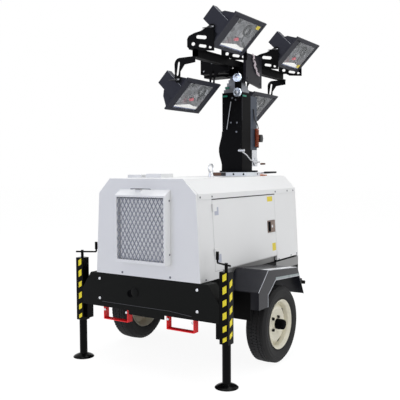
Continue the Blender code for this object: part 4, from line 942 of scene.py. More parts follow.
@dataclass(frozen=True)
class Grille(Part):
    """The air outlet: a folded box frame, a handle, expanded mesh and the pale cooler behind it."""

    # The opening that the mesh fills
    half_width: float = 0.1877
    low_z: float = 0.7303
    high_z: float = 1.1327
    # The mesh: where its strands lie, how many diamonds it has, its strands' width and the least length of one
    front_y: float = -0.054
    back_y: float = -0.050
    columns: int = 12
    rows: float = 7.5
    strand: float = 0.0042
    shortest: float = 0.004
    # columns: y, z of the screws in the frame's sides
    side_screws: Table = ((-0.012, 1.113), (-0.012, 0.777))
    side_x: float = 0.2
    screw_radius: float = 0.006
    screw_height: float = 0.003
    handle: Table = ((-0.075, -0.030, 1.183), (-0.070, -0.046, 1.1855), (0.062, -0.046, 1.1855),
                     (0.068, -0.030, 1.183))
    handle_radius: float = 0.0028
    # Lowest and highest corner of a block
    grip: Table = ((-0.030, -0.0595, 1.1820), (0.017, -0.0535, 1.1885))
    core: Table = ((-0.178, -0.030, 0.733), (0.178, 0.0210, 1.122))
    first_fin: Table = ((-0.1766, -0.032, 0.735), (-0.1754, -0.029, 1.120))
    fins: int = 44
    fins_width: float = 0.352

    def build(self) -> None:
        """Show the grille."""
        put = self.tower.put
        self.tower.adopt("grille_frame", "hood_white", bevel=0.0015)
        put("grille_strands", self._strands(), "mesh", "grille_mesh", replaces=("grille_mesh",))
        screws = Shape()
        for y, z in self.side_screws:
            for side in Side:
                place, way = (side.sign * self.side_x, y, z), (side.sign, 0, 0)
                screws.head(place, way, self.screw_radius, self.screw_height)
        put("grille_screws", screws, "screw_grey", "grille_frame", slot="steel_zinc")
        rail = Shape().tube(smooth_path(self.handle, 5), self.handle_radius, 10)
        put("hood_handle", rail, "screw_grey", "grille_frame", slot="steel_zinc")
        put("hood_grip", Shape().block(*self.grip), "plastic", "grille_frame", bevel=0.001)
        self.tower.adopt("radiator", "dark")
        put("cooler_core", Shape().block(*self.core), "cooler", "radiator")
        fins = Shape()
        (x_low, y_low, z_low), (x_high, y_high, z_high) = self.first_fin
        for i in range(self.fins):
            step = i * self.fins_width / (self.fins - 1)
            fins.block((x_low + step, y_low, z_low), (x_high + step, y_high, z_high))
        put("cooler_fins", fins, "cooler", "radiator")

    def _strands(self) -> Shape:
        """The diamond mesh, clipped to the opening.

        Returns:
            Its strands.
        """
        shape = Shape()
        wide, high = 2 * self.half_width, self.high_z - self.low_z
        step_x, step_z = wide / self.columns, high / self.rows
        slope = step_z / step_x
        offsets = [step_z * (k + 0.5) for k in range(-2 * self.columns, 2 * self.columns)]
        for rise in (slope, -slope):
            for offset in offsets:
                ends = self._clip(offset, rise, wide, high)
                if ends:
                    first, last = ((x - self.half_width, z + self.low_z) for x, z in ends)
                    shape.strap(first, last, self.strand, self.front_y, self.back_y)
        return shape

    def _clip(self, offset: float, rise: float, wide: float, high: float) -> tuple[Point, Point] | None:
        """The stretch of a slanting line that lies in the opening.

        Args:
            offset: the line's height at x = 0.
            rise: how much it rises for each metre of x.
            wide: the opening's width.
            high: the opening's height.

        Returns:
            Both ends as (x, z) from the opening's lower left corner, or None where hardly any of it is inside.
        """
        edges = sorted(((0 - offset) / rise, (high - offset) / rise))
        first, last = max(0.0, edges[0]), min(wide, edges[1])
        if last - first < self.shortest:
            return None
        return (first, offset + rise * first), (last, offset + rise * last)


@dataclass(frozen=True)
class Chassis(Part):
    """The black chassis, the folded front beam with its bolts and port, the red fork guards and the drawbar."""

    # columns: node, finish
    nodes: Table = (
        ("chassis_frame", "frame_black"), ("front_beam", "beam_black"), ("axle", "frame_black"),
        ("drawbar", "frame_black"), ("fork_guard_front_l", "guard_red"), ("fork_guard_front_r", "guard_red"),
        ("fork_guard_rear_l", "guard_red"), ("fork_guard_rear_r", "guard_red"),
    )
    # columns: x, z
    beam_bolts: Table = ((-0.395, 0.574), (0.395, 0.574), (-0.395, 0.441), (0.395, 0.441))
    beam_bolt_radius: float = 0.010
    bolt_height: float = 0.005
    # The painted highlight along the front beam's fold, a thin grey bar: its points, and its radius
    beam_fold: Table = ((-0.372, -0.0006, 0.42), (0.188, -0.0006, 0.42), (0.354, -0.0006, 0.406))
    fold_radius: float = 0.0014
    # The port's bush: its x and z, where its ring and its floor lie, and both, with columns: radius, height
    port: Point = (-0.131, 0.496)
    port_ring_y: float = -0.0005
    port_floor_y: float = -0.0003
    port_ring: Table = ((0.024, 0.0), (0.024, 0.002), (0.021, 0.005), (0.016, 0.005), (0.013, 0.001))
    port_floor: Table = ((0.0, 0.0), (0.014, 0.0), (0.013, 0.0008), (0.0, 0.0008))
    # columns: x, z of the bright bolts on the front guards
    guard_bolts: Table = ((-0.169, 0.366), (0.169, 0.366), (-0.356, 0.366), (0.356, 0.366))
    guard_bolt_y: float = 0.005
    guard_bolt_radius: float = 0.0085
    # Lowest and highest corners of the sill's two sheets, on the right
    sills: Table = (((0.3922, 0.272, 0.6165), (0.3934, 1.046, 0.6605)),
                    ((0.4182, 1.030, 0.548), (0.4190, 1.418, 0.6145)))

    def build(self) -> None:
        """Show the chassis."""
        put = self.tower.put
        for node, finish in self.nodes:
            self.tower.adopt(node, finish, bevel=0.002)
        bolts = Shape()
        for x, z in self.beam_bolts:
            bolts.head((x, 0, z), (0, -1, 0), self.beam_bolt_radius, self.bolt_height)
        put("beam_bolts", bolts, "bright", "front_beam", slot="steel_zinc")
        put("beam_fold", Shape().tube(self.beam_fold, self.fold_radius, 6), "fold_dull", "front_beam")
        self._port()
        self._guard_bolts()
        for side in Side:
            panel = Shape()
            for low, high in self.sills:
                panel.block((side.sign * low[0], *low[1:]), (side.sign * high[0], *high[1:]))
            put(f"sill_panel_{side.letter}", panel, "sill_grey", "chassis_frame", bevel=0.0005)

    def _port(self) -> None:
        """The round port's moulded bush."""
        x, z = self.port
        bush = Shape().lathe(self.port_ring, (x, self.port_ring_y, z), (0, -1, 0), 36)
        bush.lathe(self.port_floor, (x, self.port_floor_y, z), (0, -1, 0), 36)
        self.tower.put("beam_port", bush, "dark", "front_beam")

    def _guard_bolts(self) -> None:
        """The bright bolts by which the front guards hang."""
        for side in Side:
            bolts = Shape()
            for x, z in self.guard_bolts:
                if x * side.sign > 0:
                    bolts.head((x, self.guard_bolt_y, z), (0, -1, 0), self.guard_bolt_radius, self.bolt_height)
            node = f"fork_guard_front_{side.letter}"
            self.tower.put(f"{node}_bolts", bolts, "bright", node, slot="steel_zinc")


@dataclass(frozen=True)
class Fenders(Part):
    """Folded fenders with painted highlights along their folds, their lip and their top's outer edge."""

    # columns: y, z
    outline: Table = ((0.30, 0.533), (0.433, 0.657), (0.876, 0.617), (0.985, 0.415))
    lip: Table = ((0.426, 0.42), (0.426, 0.4965), (0.534, 0.579), (0.904, 0.5555))
    # The two bands are painted highlights: paler strips where light falls on the lip and the top's outer edge
    lip_band: Table = ((0.536, 0.581), (0.9035, 0.558), (0.9035, 0.571), (0.5335, 0.597))
    top_band: Table = ((0.436, 0.6570), (0.874, 0.6174), (0.874, 0.6180), (0.436, 0.6576))
    outer_x: float = 0.66
    # The fold and the lip, drawn as bright tubes of painted highlight: how far in and down they lie, and their radii
    fold_in: float = 0.0022
    fold_down: float = 0.0018
    fold_radius: float = 0.0024
    lip_radius: float = 0.0036
    lip_band_half: float = 0.0005
    top_band_inner_x: float = 0.605
    top_band_in: float = 0.0030

    def build(self) -> None:
        """Show both fenders."""
        put = self.tower.put
        for side in Side:
            node = f"fender_{side.letter}"
            self.tower.adopt(node, "fender_grey", bevel=0.0015)
            x = side.sign * (self.outer_x - self.fold_in)
            fold = [(x, y, z - self.fold_down) for y, z in self.outline]
            put(f"{node}_fold", Shape().tube(fold, self.fold_radius, 8), "fold_shine", node)
            lip = [(x, y, z) for y, z in self.lip]
            put(f"{node}_lip", Shape().tube(lip, self.lip_radius, 8), "fold_shine", node)
            for name, finish, inner, outer, band in (
                ("lip_band", "lip_shine", self.outer_x - self.lip_band_half, self.outer_x + self.lip_band_half,
                 self.lip_band),
                ("top_band", "top_shine", self.top_band_inner_x, self.outer_x - self.top_band_in, self.top_band),
            ):
                low, high = sorted((side.sign * inner, side.sign * outer))
                put(f"{node}_{name}", Shape().plate(Axis.X, low, high, band), finish, node)


@dataclass(frozen=True)
class Wheels(Part):
    """Road wheels: a grooved and siped tyre on a pressed cream rim, with slots drawn as dark blocks of painted shade,
    nuts and a black hub cap.
    """

    axle_y: float = 0.647
    radius: float = 0.26
    track: float = 0.577
    # The tread's ribs, with columns: middle along the axle, width, blocks round the tyre
    ribs: Table = ((-0.0475, 0.0125, 64), (-0.0285, 0.0185, 64), (0.0, 0.030, 80), (0.0285, 0.0185, 64),
                   (0.0475, 0.0125, 64))
    # A tread block: how far below the tyre's radius its top is, and how much more so for each metre off the
    # middle, its height, its share of the pitch, and its slant in degrees
    tread_drop: float = 0.0004
    crown: float = 0.055
    block_height: float = 0.009
    block_share: float = 0.86
    block_slant: float = 14.0
    # columns: radius, distance from the middle
    wall: Table = ((0.158, 0.050), (0.172, 0.060), (0.178, 0.0640), (0.182, 0.0640), (0.188, 0.0675),
                   (0.201, 0.0712), (0.213, 0.0722), (0.216, 0.0734), (0.219, 0.0722), (0.231, 0.0705),
                   (0.236, 0.0718), (0.239, 0.0690), (0.248, 0.0610), (0.2535, 0.0560), (0.2545, 0.0400),
                   (0.2545, 0.0))
    rim: Table = ((0.0, 0.040), (0.034, 0.038), (0.040, 0.026), (0.056, 0.022), (0.072, 0.020), (0.090, 0.028),
                  (0.104, 0.034), (0.116, 0.033), (0.128, 0.022), (0.1457, 0.012), (0.1463, 0.030),
                  (0.1477, 0.046), (0.152, 0.053), (0.1567, 0.0575), (0.160, 0.0640), (0.1645, 0.0665),
                  (0.167, 0.0640), (0.1575, 0.0515), (0.1575, -0.0515), (0.167, -0.0640), (0.165, -0.0665),
                  (0.1567, -0.0575), (0.1517, -0.046), (0.142, 0.006), (0.104, 0.028), (0.074, 0.014),
                  (0.040, 0.016), (0.040, -0.0605), (0.020, -0.0605))
    cap: Table = ((0.036, 0.024), (0.0355, 0.030), (0.034, 0.078), (0.0325, 0.0868), (0.0285, 0.0915),
                  (0.020, 0.0945), (0.0, 0.0945))
    # Nuts round the hub: how many, the first one's angle, their ring's radius, their seat and height along the
    # axle, and their radius
    nuts: int = 4
    nut_start: float = 45.0
    nut_ring: float = 0.054
    nut_seat: float = 0.019
    nut_height: float = 0.017
    nut_radius: float = 0.0105
    # Slots near the rim, drawn as dark blocks of painted shade: how many, the first one's angle, their ring's
    # radius, their seat, their size, and their slant in degrees
    slots: int = 4
    slot_start: float = 28.0
    slot_ring: float = 0.131
    slot_seat: float = 0.0185
    slot_size: Point = (0.004, 0.046, 0.011)
    slot_slant: float = 36.0

    def build(self) -> None:
        """Show both wheels."""
        for side in Side:
            centre = Vector((side.sign * self.track, self.axle_y, self.radius))
            axis = (side.sign, 0, 0)
            letter = side.letter
            tyre = Shape().lathe(self.wall + tuple((r, -h) for r, h in self.wall[-2::-1]), centre, axis, 128)
            for middle, width, count in self.ribs:
                for i in range(count):
                    self._tread_block(tyre, centre, side.sign * middle, width, 360 * i / count, 360 / count)
            node = f"tyre_{letter}"
            self.tower.put(f"tyre_tread_{letter}", tyre, "tyre", node, replaces=(node,), angle=24)
            rim = Shape().lathe(self.rim, centre, axis, 96)
            node = f"wheel_rim_{letter}"
            self.tower.put(f"{node}_disc", rim, "rim_cream", node, replaces=(node,), angle=24)
            self.tower.put(f"{node}_cap", Shape().lathe(self.cap, centre, axis, 40), "dark", node)
            self._small(side, centre, node)

    def _tread_block(self, tyre: Shape, centre: Vector, middle: float, width: float, angle: float,
                     pitch: float) -> None:
        """One tread block, with a narrow sipe left to the next one.

        Args:
            tyre: the shape that it joins.
            centre: the wheel's centre.
            middle: its middle along the axle, from the wheel's centre.
            width: its width.
            angle: its place round the tyre in degrees.
            pitch: the angle in degrees from one block to the next.
        """
        outer = self.radius - self.tread_drop - abs(middle) * self.crown
        length = math.radians(pitch) * outer * self.block_share
        slant = self.block_slant if middle > 0 else -self.block_slant
        place = (Matrix.Translation(centre) @ Matrix.Rotation(math.radians(angle), 4, "X")
                 @ Matrix.Translation((middle, 0, outer - self.block_height / 2))
                 @ Matrix.Rotation(math.radians(slant), 4, "Z")
                 @ Matrix.Diagonal((width, length, self.block_height, 1)))
        bmesh.ops.create_cube(tyre.bm, size=1, matrix=place)

    def _small(self, side: Side, centre: Vector, node: str) -> None:
        """The nuts round the hub, and the dark blocks of painted shade that stand for the slots near the rim.

        Args:
            side: left or right.
            centre: the wheel's centre.
            node: the CAD node of its rim.
        """
        nuts, slots = Shape(), Shape()
        for i in range(self.nuts):
            turn = math.radians(self.nut_start + 360 * i / self.nuts)
            foot = centre + Vector((side.sign * self.nut_seat, self.nut_ring * math.cos(turn),
                                    self.nut_ring * math.sin(turn)))
            nuts.bar(foot, foot + Vector((side.sign * self.nut_height, 0, 0)), self.nut_radius, 6)
        for i in range(self.slots):
            turn = Matrix.Rotation(math.radians(self.slot_start + 360 * i / self.slots), 4, "X")
            box = Matrix.Diagonal((*self.slot_size, 1))
            tilt = Matrix.Rotation(math.radians(side.sign * self.slot_slant), 4, "Y")
            place = (Matrix.Translation(centre) @ turn
                     @ Matrix.Translation((side.sign * self.slot_seat, 0, self.slot_ring)) @ tilt @ box)
            bmesh.ops.create_cube(slots.bm, size=1, matrix=place)
        self.tower.put(f"{node}_nuts", nuts, "frame_black", node, bevel=0.001)
        self.tower.put(f"{node}_slots", slots, "dark", node)


@dataclass(frozen=True)
class Jacks(Part):
    """Corner jacks with striped square tubes, bright black legs with domed feet, and cranks; and the parking jack."""

    # The front jacks: where their middles are, and half of their tubes' width
    x: float = 0.583
    y: float = 0.032
    half: float = 0.031
    leg_radius: float = 0.0265
    parking_x: float = 0.16
    parking_y: float = 1.47
    parking_radius: float = 0.0255
    leg_foot_z: float = 0.02
    foot: Table = ((0.0, 0.0285), (0.0250, 0.0285), (0.0290, 0.0262), (0.034, 0.0235), (0.0465, 0.0188),
                   (0.0580, 0.0138), (0.0665, 0.0085), (0.0705, 0.0045), (0.0725, 0.0030), (0.0725, 0.0),
                   (0.0, 0.0))
    # The stripes on a jack's faces, with columns: lowest z, highest z at the inner edge
    front_stripes: Table = ((0.640, 0.697), (0.564, 0.623), (0.490, 0.542), (0.411, 0.467), (0.336, 0.387),
                            (0.275, 0.317))
    outer_stripes: Table = ((0.603, 0.656), (0.521, 0.580), (0.444, 0.497), (0.368, 0.421), (0.297, 0.342))
    stripe_half: float = 0.0135
    stripe_rise: float = 0.016
    stripe_shift: float = 0.006
    outer_stripe_low: float = -0.014
    outer_stripe_high: float = 0.016
    film: float = 0.0006

    def build(self) -> None:
        """Show all three jacks."""
        for side in Side:
            letter = side.letter
            self.tower.adopt(f"jack_tube_{letter}", "jack_black", bevel=0.0025, segments=3)
            self._leg(f"jack_leg_{letter}", side.sign * self.x, self.y, self.leg_radius)
            self._stripes(side)
        self.tower.adopt("parking_jack_tube", "jack_black", bevel=0.0015)
        self._leg("parking_jack_leg", self.parking_x, self.parking_y, self.parking_radius)

    def _leg(self, node: str, x: float, y: float, radius: float) -> None:
        """A round leg on its domed foot.

        Args:
            node: the CAD node that it is shown instead of.
            x: its middle's x.
            y: its middle's y.
            radius: its radius.
        """
        top = self.tower.box(node)[1].z
        leg = Shape().bar((x, y, self.leg_foot_z), (x, y, top), radius, 48)
        leg.lathe(self.foot, (x, y, 0), (0, 0, 1), 64)
        self.tower.put(f"{node}_look", leg, "jack_black", node, bevel=0.0008, replaces=(node,))

    def _stripes(self, side: Side) -> None:
        """The slanted yellow patches on a jack's front and outer face.

        Args:
            side: left or right.
        """
        sign, half, rise = side.sign, self.stripe_half, self.stripe_rise
        stripes = Shape()
        middle, front = sign * self.x + self.stripe_shift, self.y - self.half
        for low, high in self.front_stripes:
            loop = [(middle - half, low), (middle + half, low + rise), (middle + half, high),
                    (middle - half, high - rise)]
            stripes.plate(Axis.Y, front - self.film, front + self.film, loop)
        outer, near, far = sign * (self.x + self.half), self.y + self.outer_stripe_low, self.y + self.outer_stripe_high
        for low, high in self.outer_stripes:
            loop = [(near, low), (far, low + rise), (far, high), (near, high - rise)]
            stripes.plate(Axis.X, outer - self.film, outer + self.film, loop)
        self.tower.put(f"jack_stripes_{side.letter}", stripes, "stripe_yellow", f"jack_tube_{side.letter}")


# Mast, head and floodlights


@dataclass(frozen=True)
class Mast(Part):
    """The telescopic mast: its base, column, cheek plate, winch, sheaves, guide pads and spiral lead."""

    # columns: node, finish, bevel
    nodes: Table = (
        ("slewing_base", "base_white", 0.0015), ("mast_column", "mast_black", 0.002),
        ("mast_cheek_plate", "mast_black", 0.001), ("mast_back_channel", "channel", 0.0015),
        ("mast_winch", "bright", 0.0008), ("mast_section_1", "section", 0.002),
        ("mast_section_2", "section", 0.002), ("mast_section_3", "section", 0.002),
        ("mast_section_4", "section", 0.002), ("mast_section_5", "section", 0.002),
        ("head_block", "mast_black", 0.002), ("head_plate", "plate_grey", 0.001), ("head_beam", "mast_black", 0.002),
    )
    cheek_y: float = 1.0987
    # columns: x, z, head radius
    cheek_bolts: Table = ((-0.008, 1.667, 0.0075), (0.046, 1.664, 0.0075), (0.041, 1.594, 0.0085),
                          (0.004, 1.858, 0.008), (0.034, 1.842, 0.007))
    bolt_height: float = 0.004
    # Both ends and the radius of a round bar
    rod: tuple = ((-0.005, 1.0945, 1.829), (-0.043, 1.0945, 1.615), 0.0032)
    # The cheek plate's edge gets a painted highlight: a thin grey bar where the light falls
    cheek_edge: tuple = ((0.0885, 1.1050, 1.46), (0.0885, 1.1050, 1.862), 0.0010)
    # Green guide pads, with columns: node, lowest corner, highest corner
    pads: Table = (
        ("mast_column", (-0.078, 1.0925, 1.868), (-0.038, 1.0988, 1.880)),
        ("mast_column", (0.030, 1.0925, 1.872), (0.070, 1.0968, 1.884)),
        ("mast_column", (0.0895, 1.110, 1.866), (0.0945, 1.165, 1.878)),
        ("mast_section_2", (-0.070, 1.1125, 1.934), (-0.034, 1.1190, 1.947)),
        ("mast_section_2", (0.038, 1.1125, 1.936), (0.074, 1.1190, 1.949)),
    )
    # Holes in the base plate, drawn as flat dark discs of painted shade, with columns: place, the way that it faces
    base_holes: Table = (((0.039, 1.0550, 1.2655), (0, -1, 0)), ((0.128, 1.0550, 1.2655), (0, -1, 0)),
                         ((0.150, 1.240, 1.2655), (1, 0, 0)))
    hole_radius: float = 0.0080
    hole_height: float = 0.0006
    # Blocks on the base plate, with columns: piece, lowest corner, highest corner, finish
    base_blocks: Table = (
        ("base_block", (-0.146, 1.0525, 1.2530), (-0.072, 1.0552, 1.2790), "knob_brown"),
        ("base_clamp", (-0.071, 1.0522, 1.2530), (-0.030, 1.0552, 1.2790), "plastic"),
    )
    # The locking lever: both ends, radius, sides and end radius of its bars, and the corners of its tab
    lever_arm: tuple = ((0.146, 1.300, 1.2720), (0.186, 1.300, 1.2760), 0.0045, 14)
    lever_grip: tuple = ((0.180, 1.300, 1.2755), (0.285, 1.300, 1.2785), 0.0088, 20, 0.0070)
    lever_tab: Table = ((0.150, 1.285, 1.2515), (0.196, 1.315, 1.2600))
    sheave_x: float = 0.057
    sheave_y: float = 1.085
    sheave_z: tuple[float, float] = (1.897, 2.011)
    # columns: radius, height
    sheave: Table = ((0.0, 0.0095), (0.0085, 0.0095), (0.0095, 0.0075), (0.024, 0.0070), (0.0262, 0.0098),
                     (0.0335, 0.0098), (0.0340, 0.0085), (0.0275, 0.0), (0.0340, -0.0085), (0.0335, -0.0098),
                     (0.0262, -0.0098), (0.024, -0.0070), (0.0095, -0.0075), (0.0, -0.0075))
    # Their bracket: half its width, and its lowest and highest y and z
    bracket_half: float = 0.028
    bracket_y: Point = (1.0972, 1.1046)
    bracket_z: Point = (1.840, 2.036)
    # Their pins: y of both ends, and radius; and the seat's y, the radius and the height of a pin's head
    pin: Point = (1.0975, 1.0692, 0.0058)
    pin_head: Point = (1.0755, 0.0105, 0.006)
    # The spiral lead: x and y of its middle, its lowest and highest z, and the turns of its coil
    lead_centre: Point = (0.100, 1.325)
    lead_low: float = 1.480
    lead_high: float = 1.625
    lead_radius: float = 0.0135
    lead_turns: int = 11
    turn_steps: int = 16
    cable_radius: float = 0.0048
    tail: Table = ((0.1135, 1.325, 1.625), (0.108, 1.318, 1.66), (0.094, 1.300, 1.70), (0.089, 1.29, 1.78))
    tail_radius: float = 0.0042
    # Lowest and highest corners
    plugs: Table = (((0.086, 1.345, 1.520), (0.122, 1.385, 1.580)), ((0.092, 1.385, 1.530), (0.116, 1.402, 1.570)),
                    ((0.086, 1.340, 1.475), (0.100, 1.36, 1.62)))
    gear_case: Table = (((0.030, 1.262, 1.395), (0.091, 1.345, 1.456)),
                        ((0.0905, 1.275, 1.405), (0.094, 1.332, 1.446)))
    plug_cap: tuple = ((0.104, 1.400, 1.550), (0.104, 1.409, 1.550), 0.011, 20)
    winch_knob: tuple = ((0.133, 1.3253, 1.345), (0.174, 1.3253, 1.345), 0.0078, 20, 0.0066)
    winch_nut: tuple = ((0.0925, 1.3253, 1.36), (1, 0, 0), 0.014, 0.004)
    # The loom's first strand, and how far from it the second one runs
    loom: Table = ((0.117, 1.228, 2.192), (0.121, 1.246, 2.172), (0.117, 1.238, 2.150), (0.123, 1.264, 2.128),
                   (0.117, 1.254, 2.104), (0.122, 1.282, 2.084), (0.118, 1.290, 2.060), (0.121, 1.330, 2.045))
    loom_shift: Point = (0.004, -0.012, 0.012)
    loom_radii: tuple[float, float] = (0.0046, 0.0036)
    # The loom's ties, with columns: y, z; their lowest and highest x, and half of their size along y and z
    ties: Table = ((1.246, 2.160), (1.275, 2.115), (1.312, 2.070))
    tie_x: Point = (0.1124, 0.1285)
    tie_half: Point = (0.010, 0.004)
    # The bracket before the head block, lowest and highest corners
    bracket: Table = (((-0.215, 0.985, 2.040), (0.000, 1.0722, 2.158)),
                      ((-0.215, 1.0722, 2.132), (0.003, 1.110, 2.158)))
    # Bolts on the bracket's front, with columns: x, z; and their seat's y, their radius and their height
    junction_bolts: Table = ((-0.185, 2.063), (-0.110, 2.120))
    junction_bolt: Point = (0.985, 0.0060, 0.003)
    # Bolts on the head plate, with columns: y, z; and their seat's x and their radius
    plate_bolts: Table = ((1.150, 2.175), (1.360, 2.175), (1.150, 2.010), (1.360, 1.985))
    plate_bolt: Point = (0.1123, 0.0085)

    def build(self) -> None:
        """Show the mast."""
        for node, finish, bevel in self.nodes:
            self.tower.adopt(node, finish, bevel=bevel, split=node.startswith("mast_"))
        self._cheek()
        self._sheaves()
        self._base()
        self._lead()
        self._loom()

    def _cheek(self) -> None:
        """The bolts, the rod and the painted highlight along the cheek plate's edge, and the guide pads."""
        put = self.tower.put
        bolts = Shape()
        for x, z, radius in self.cheek_bolts:
            bolts.head((x, self.cheek_y, z), (0, -1, 0), radius, self.bolt_height)
        put("cheek_bolts", bolts, "screw_grey", "mast_cheek_plate", slot="steel_zinc")
        put("cheek_rod", Shape().bar(*self.rod, 12), "bolt_grey", "mast_cheek_plate", slot="steel_zinc")
        put("cheek_edge", Shape().bar(*self.cheek_edge, 8), "fold_dull", "mast_cheek_plate")
        for i, (node, low, high) in enumerate(self.pads):
            put(f"guide_pad_{i}", Shape().block(low, high), "green_band", node, bevel=0.001)

    def _sheaves(self) -> None:
        """Two turned sheaves on a dark bracket."""
        put = self.tower.put
        x, y = self.sheave_x, self.sheave_y
        (y_low, y_high), (z_low, z_high) = self.bracket_y, self.bracket_z
        bracket = Shape().block((x - self.bracket_half, y_low, z_low), (x + self.bracket_half, y_high, z_high))
        put("sheave_bracket", bracket, "mast_black", "mast_sheaves", bevel=0.001, replaces=("mast_sheaves",))
        wheels, pins = Shape(), Shape()
        (root, end, radius), (seat, head_radius, head_height) = self.pin, self.pin_head
        for z in self.sheave_z:
            wheels.lathe(self.sheave, (x, y, z), (0, -1, 0), 56)
            pins.bar((x, root, z), (x, end, z), radius, 20)
            pins.head((x, seat, z), (0, -1, 0), head_radius, head_height)
        put("sheave_wheels", wheels, "sheave_blue", "mast_sheaves", bevel=0.0004)
        put("sheave_pins", pins, "bright", "mast_sheaves", slot="steel_zinc")

    def _base(self) -> None:
        """The holes of the base plate as dark discs of painted shade, its brown block, and its locking lever."""
        put = self.tower.put
        holes = Shape()
        for place, way in self.base_holes:
            holes.head(place, way, self.hole_radius, self.hole_height)
        put("base_holes", holes, "dark", "slewing_base")
        for name, low, high, finish in self.base_blocks:
            put(name, Shape().block(low, high), finish, "slewing_base", bevel=0.001)
        put("base_lever", Shape().bar(*self.lever_arm), "bright", "slewing_base", slot="steel_zinc")
        put("base_lever_grip", Shape().bar(*self.lever_grip), "plastic", "slewing_base", bevel=0.002)
        put("base_lever_tab", Shape().block(*self.lever_tab), "orange_tab", "slewing_base", bevel=0.001)

    def _lead(self) -> None:
        """The orange-brown spiral lead beside the back channel with its dark plugs, and the winch's small pieces."""
        put = self.tower.put
        steps = self.lead_turns * self.turn_steps
        ring = arc(self.lead_centre, self.lead_radius, 0, 360 * self.lead_turns, steps)
        coil = [(x, y, self.lead_low + (self.lead_high - self.lead_low) * i / steps) for i, (x, y) in enumerate(ring)]
        put("spiral_lead", Shape().tube(coil, self.cable_radius, 8), "orange_lead", "mast_back_channel", angle=60)
        tail = Shape().tube(smooth_path(self.tail), self.tail_radius, 8)
        put("lead_tail", tail, "plastic", "mast_back_channel", angle=60)
        put("lead_plugs", Shape().blocks(self.plugs), "plastic", "mast_back_channel", bevel=0.002)
        put("lead_plug_cap", Shape().bar(*self.plug_cap), "bolt_grey", "mast_back_channel", bevel=0.001)
        put("winch_nut", Shape().head(*self.winch_nut), "bolt_grey", "mast_winch", slot="steel_zinc")
        gear = Shape().blocks(self.gear_case)
        put("winch_gear_case", gear, "bright", "mast_winch", bevel=0.003, slot="steel_zinc")
        put("winch_knob", Shape().bar(*self.winch_knob), "knob_brown", "mast_winch", bevel=0.0015)

    def _loom(self) -> None:
        """The pale wiring loom on the head plate, the bracket before the head block, and their bolts."""
        put = self.tower.put
        other = [tuple(a + b for a, b in zip(knot, self.loom_shift)) for knot in self.loom]
        loom = Shape()
        for knots, radius in zip((self.loom, other), self.loom_radii):
            loom.tube(smooth_path(knots, 8), radius, 8)
        put("loom", loom, "loom_pink", "head_plate", angle=60)
        ties = Shape()
        (x_low, x_high), (half_y, half_z) = self.tie_x, self.tie_half
        for y, z in self.ties:
            ties.block((x_low, y - half_y, z - half_z), (x_high, y + half_y, z + half_z))
        put("loom_ties", ties, "plastic", "head_plate", bevel=0.001)
        put("head_bracket", Shape().blocks(self.bracket), "mast_black", "head_block", bevel=0.003)
        bolts = Shape()
        seat, radius, height = self.junction_bolt
        for x, z in self.junction_bolts:
            bolts.head((x, seat, z), (0, -1, 0), radius, height)
        put("junction_bolts", bolts, "bolt_grey", "head_block", slot="steel_zinc")
        bolts = Shape()
        seat, radius = self.plate_bolt
        for y, z in self.plate_bolts:
            bolts.head((seat, y, z), (1, 0, 0), radius, self.bolt_height)
        put("head_plate_bolts", bolts, "plate_grey", "head_plate")


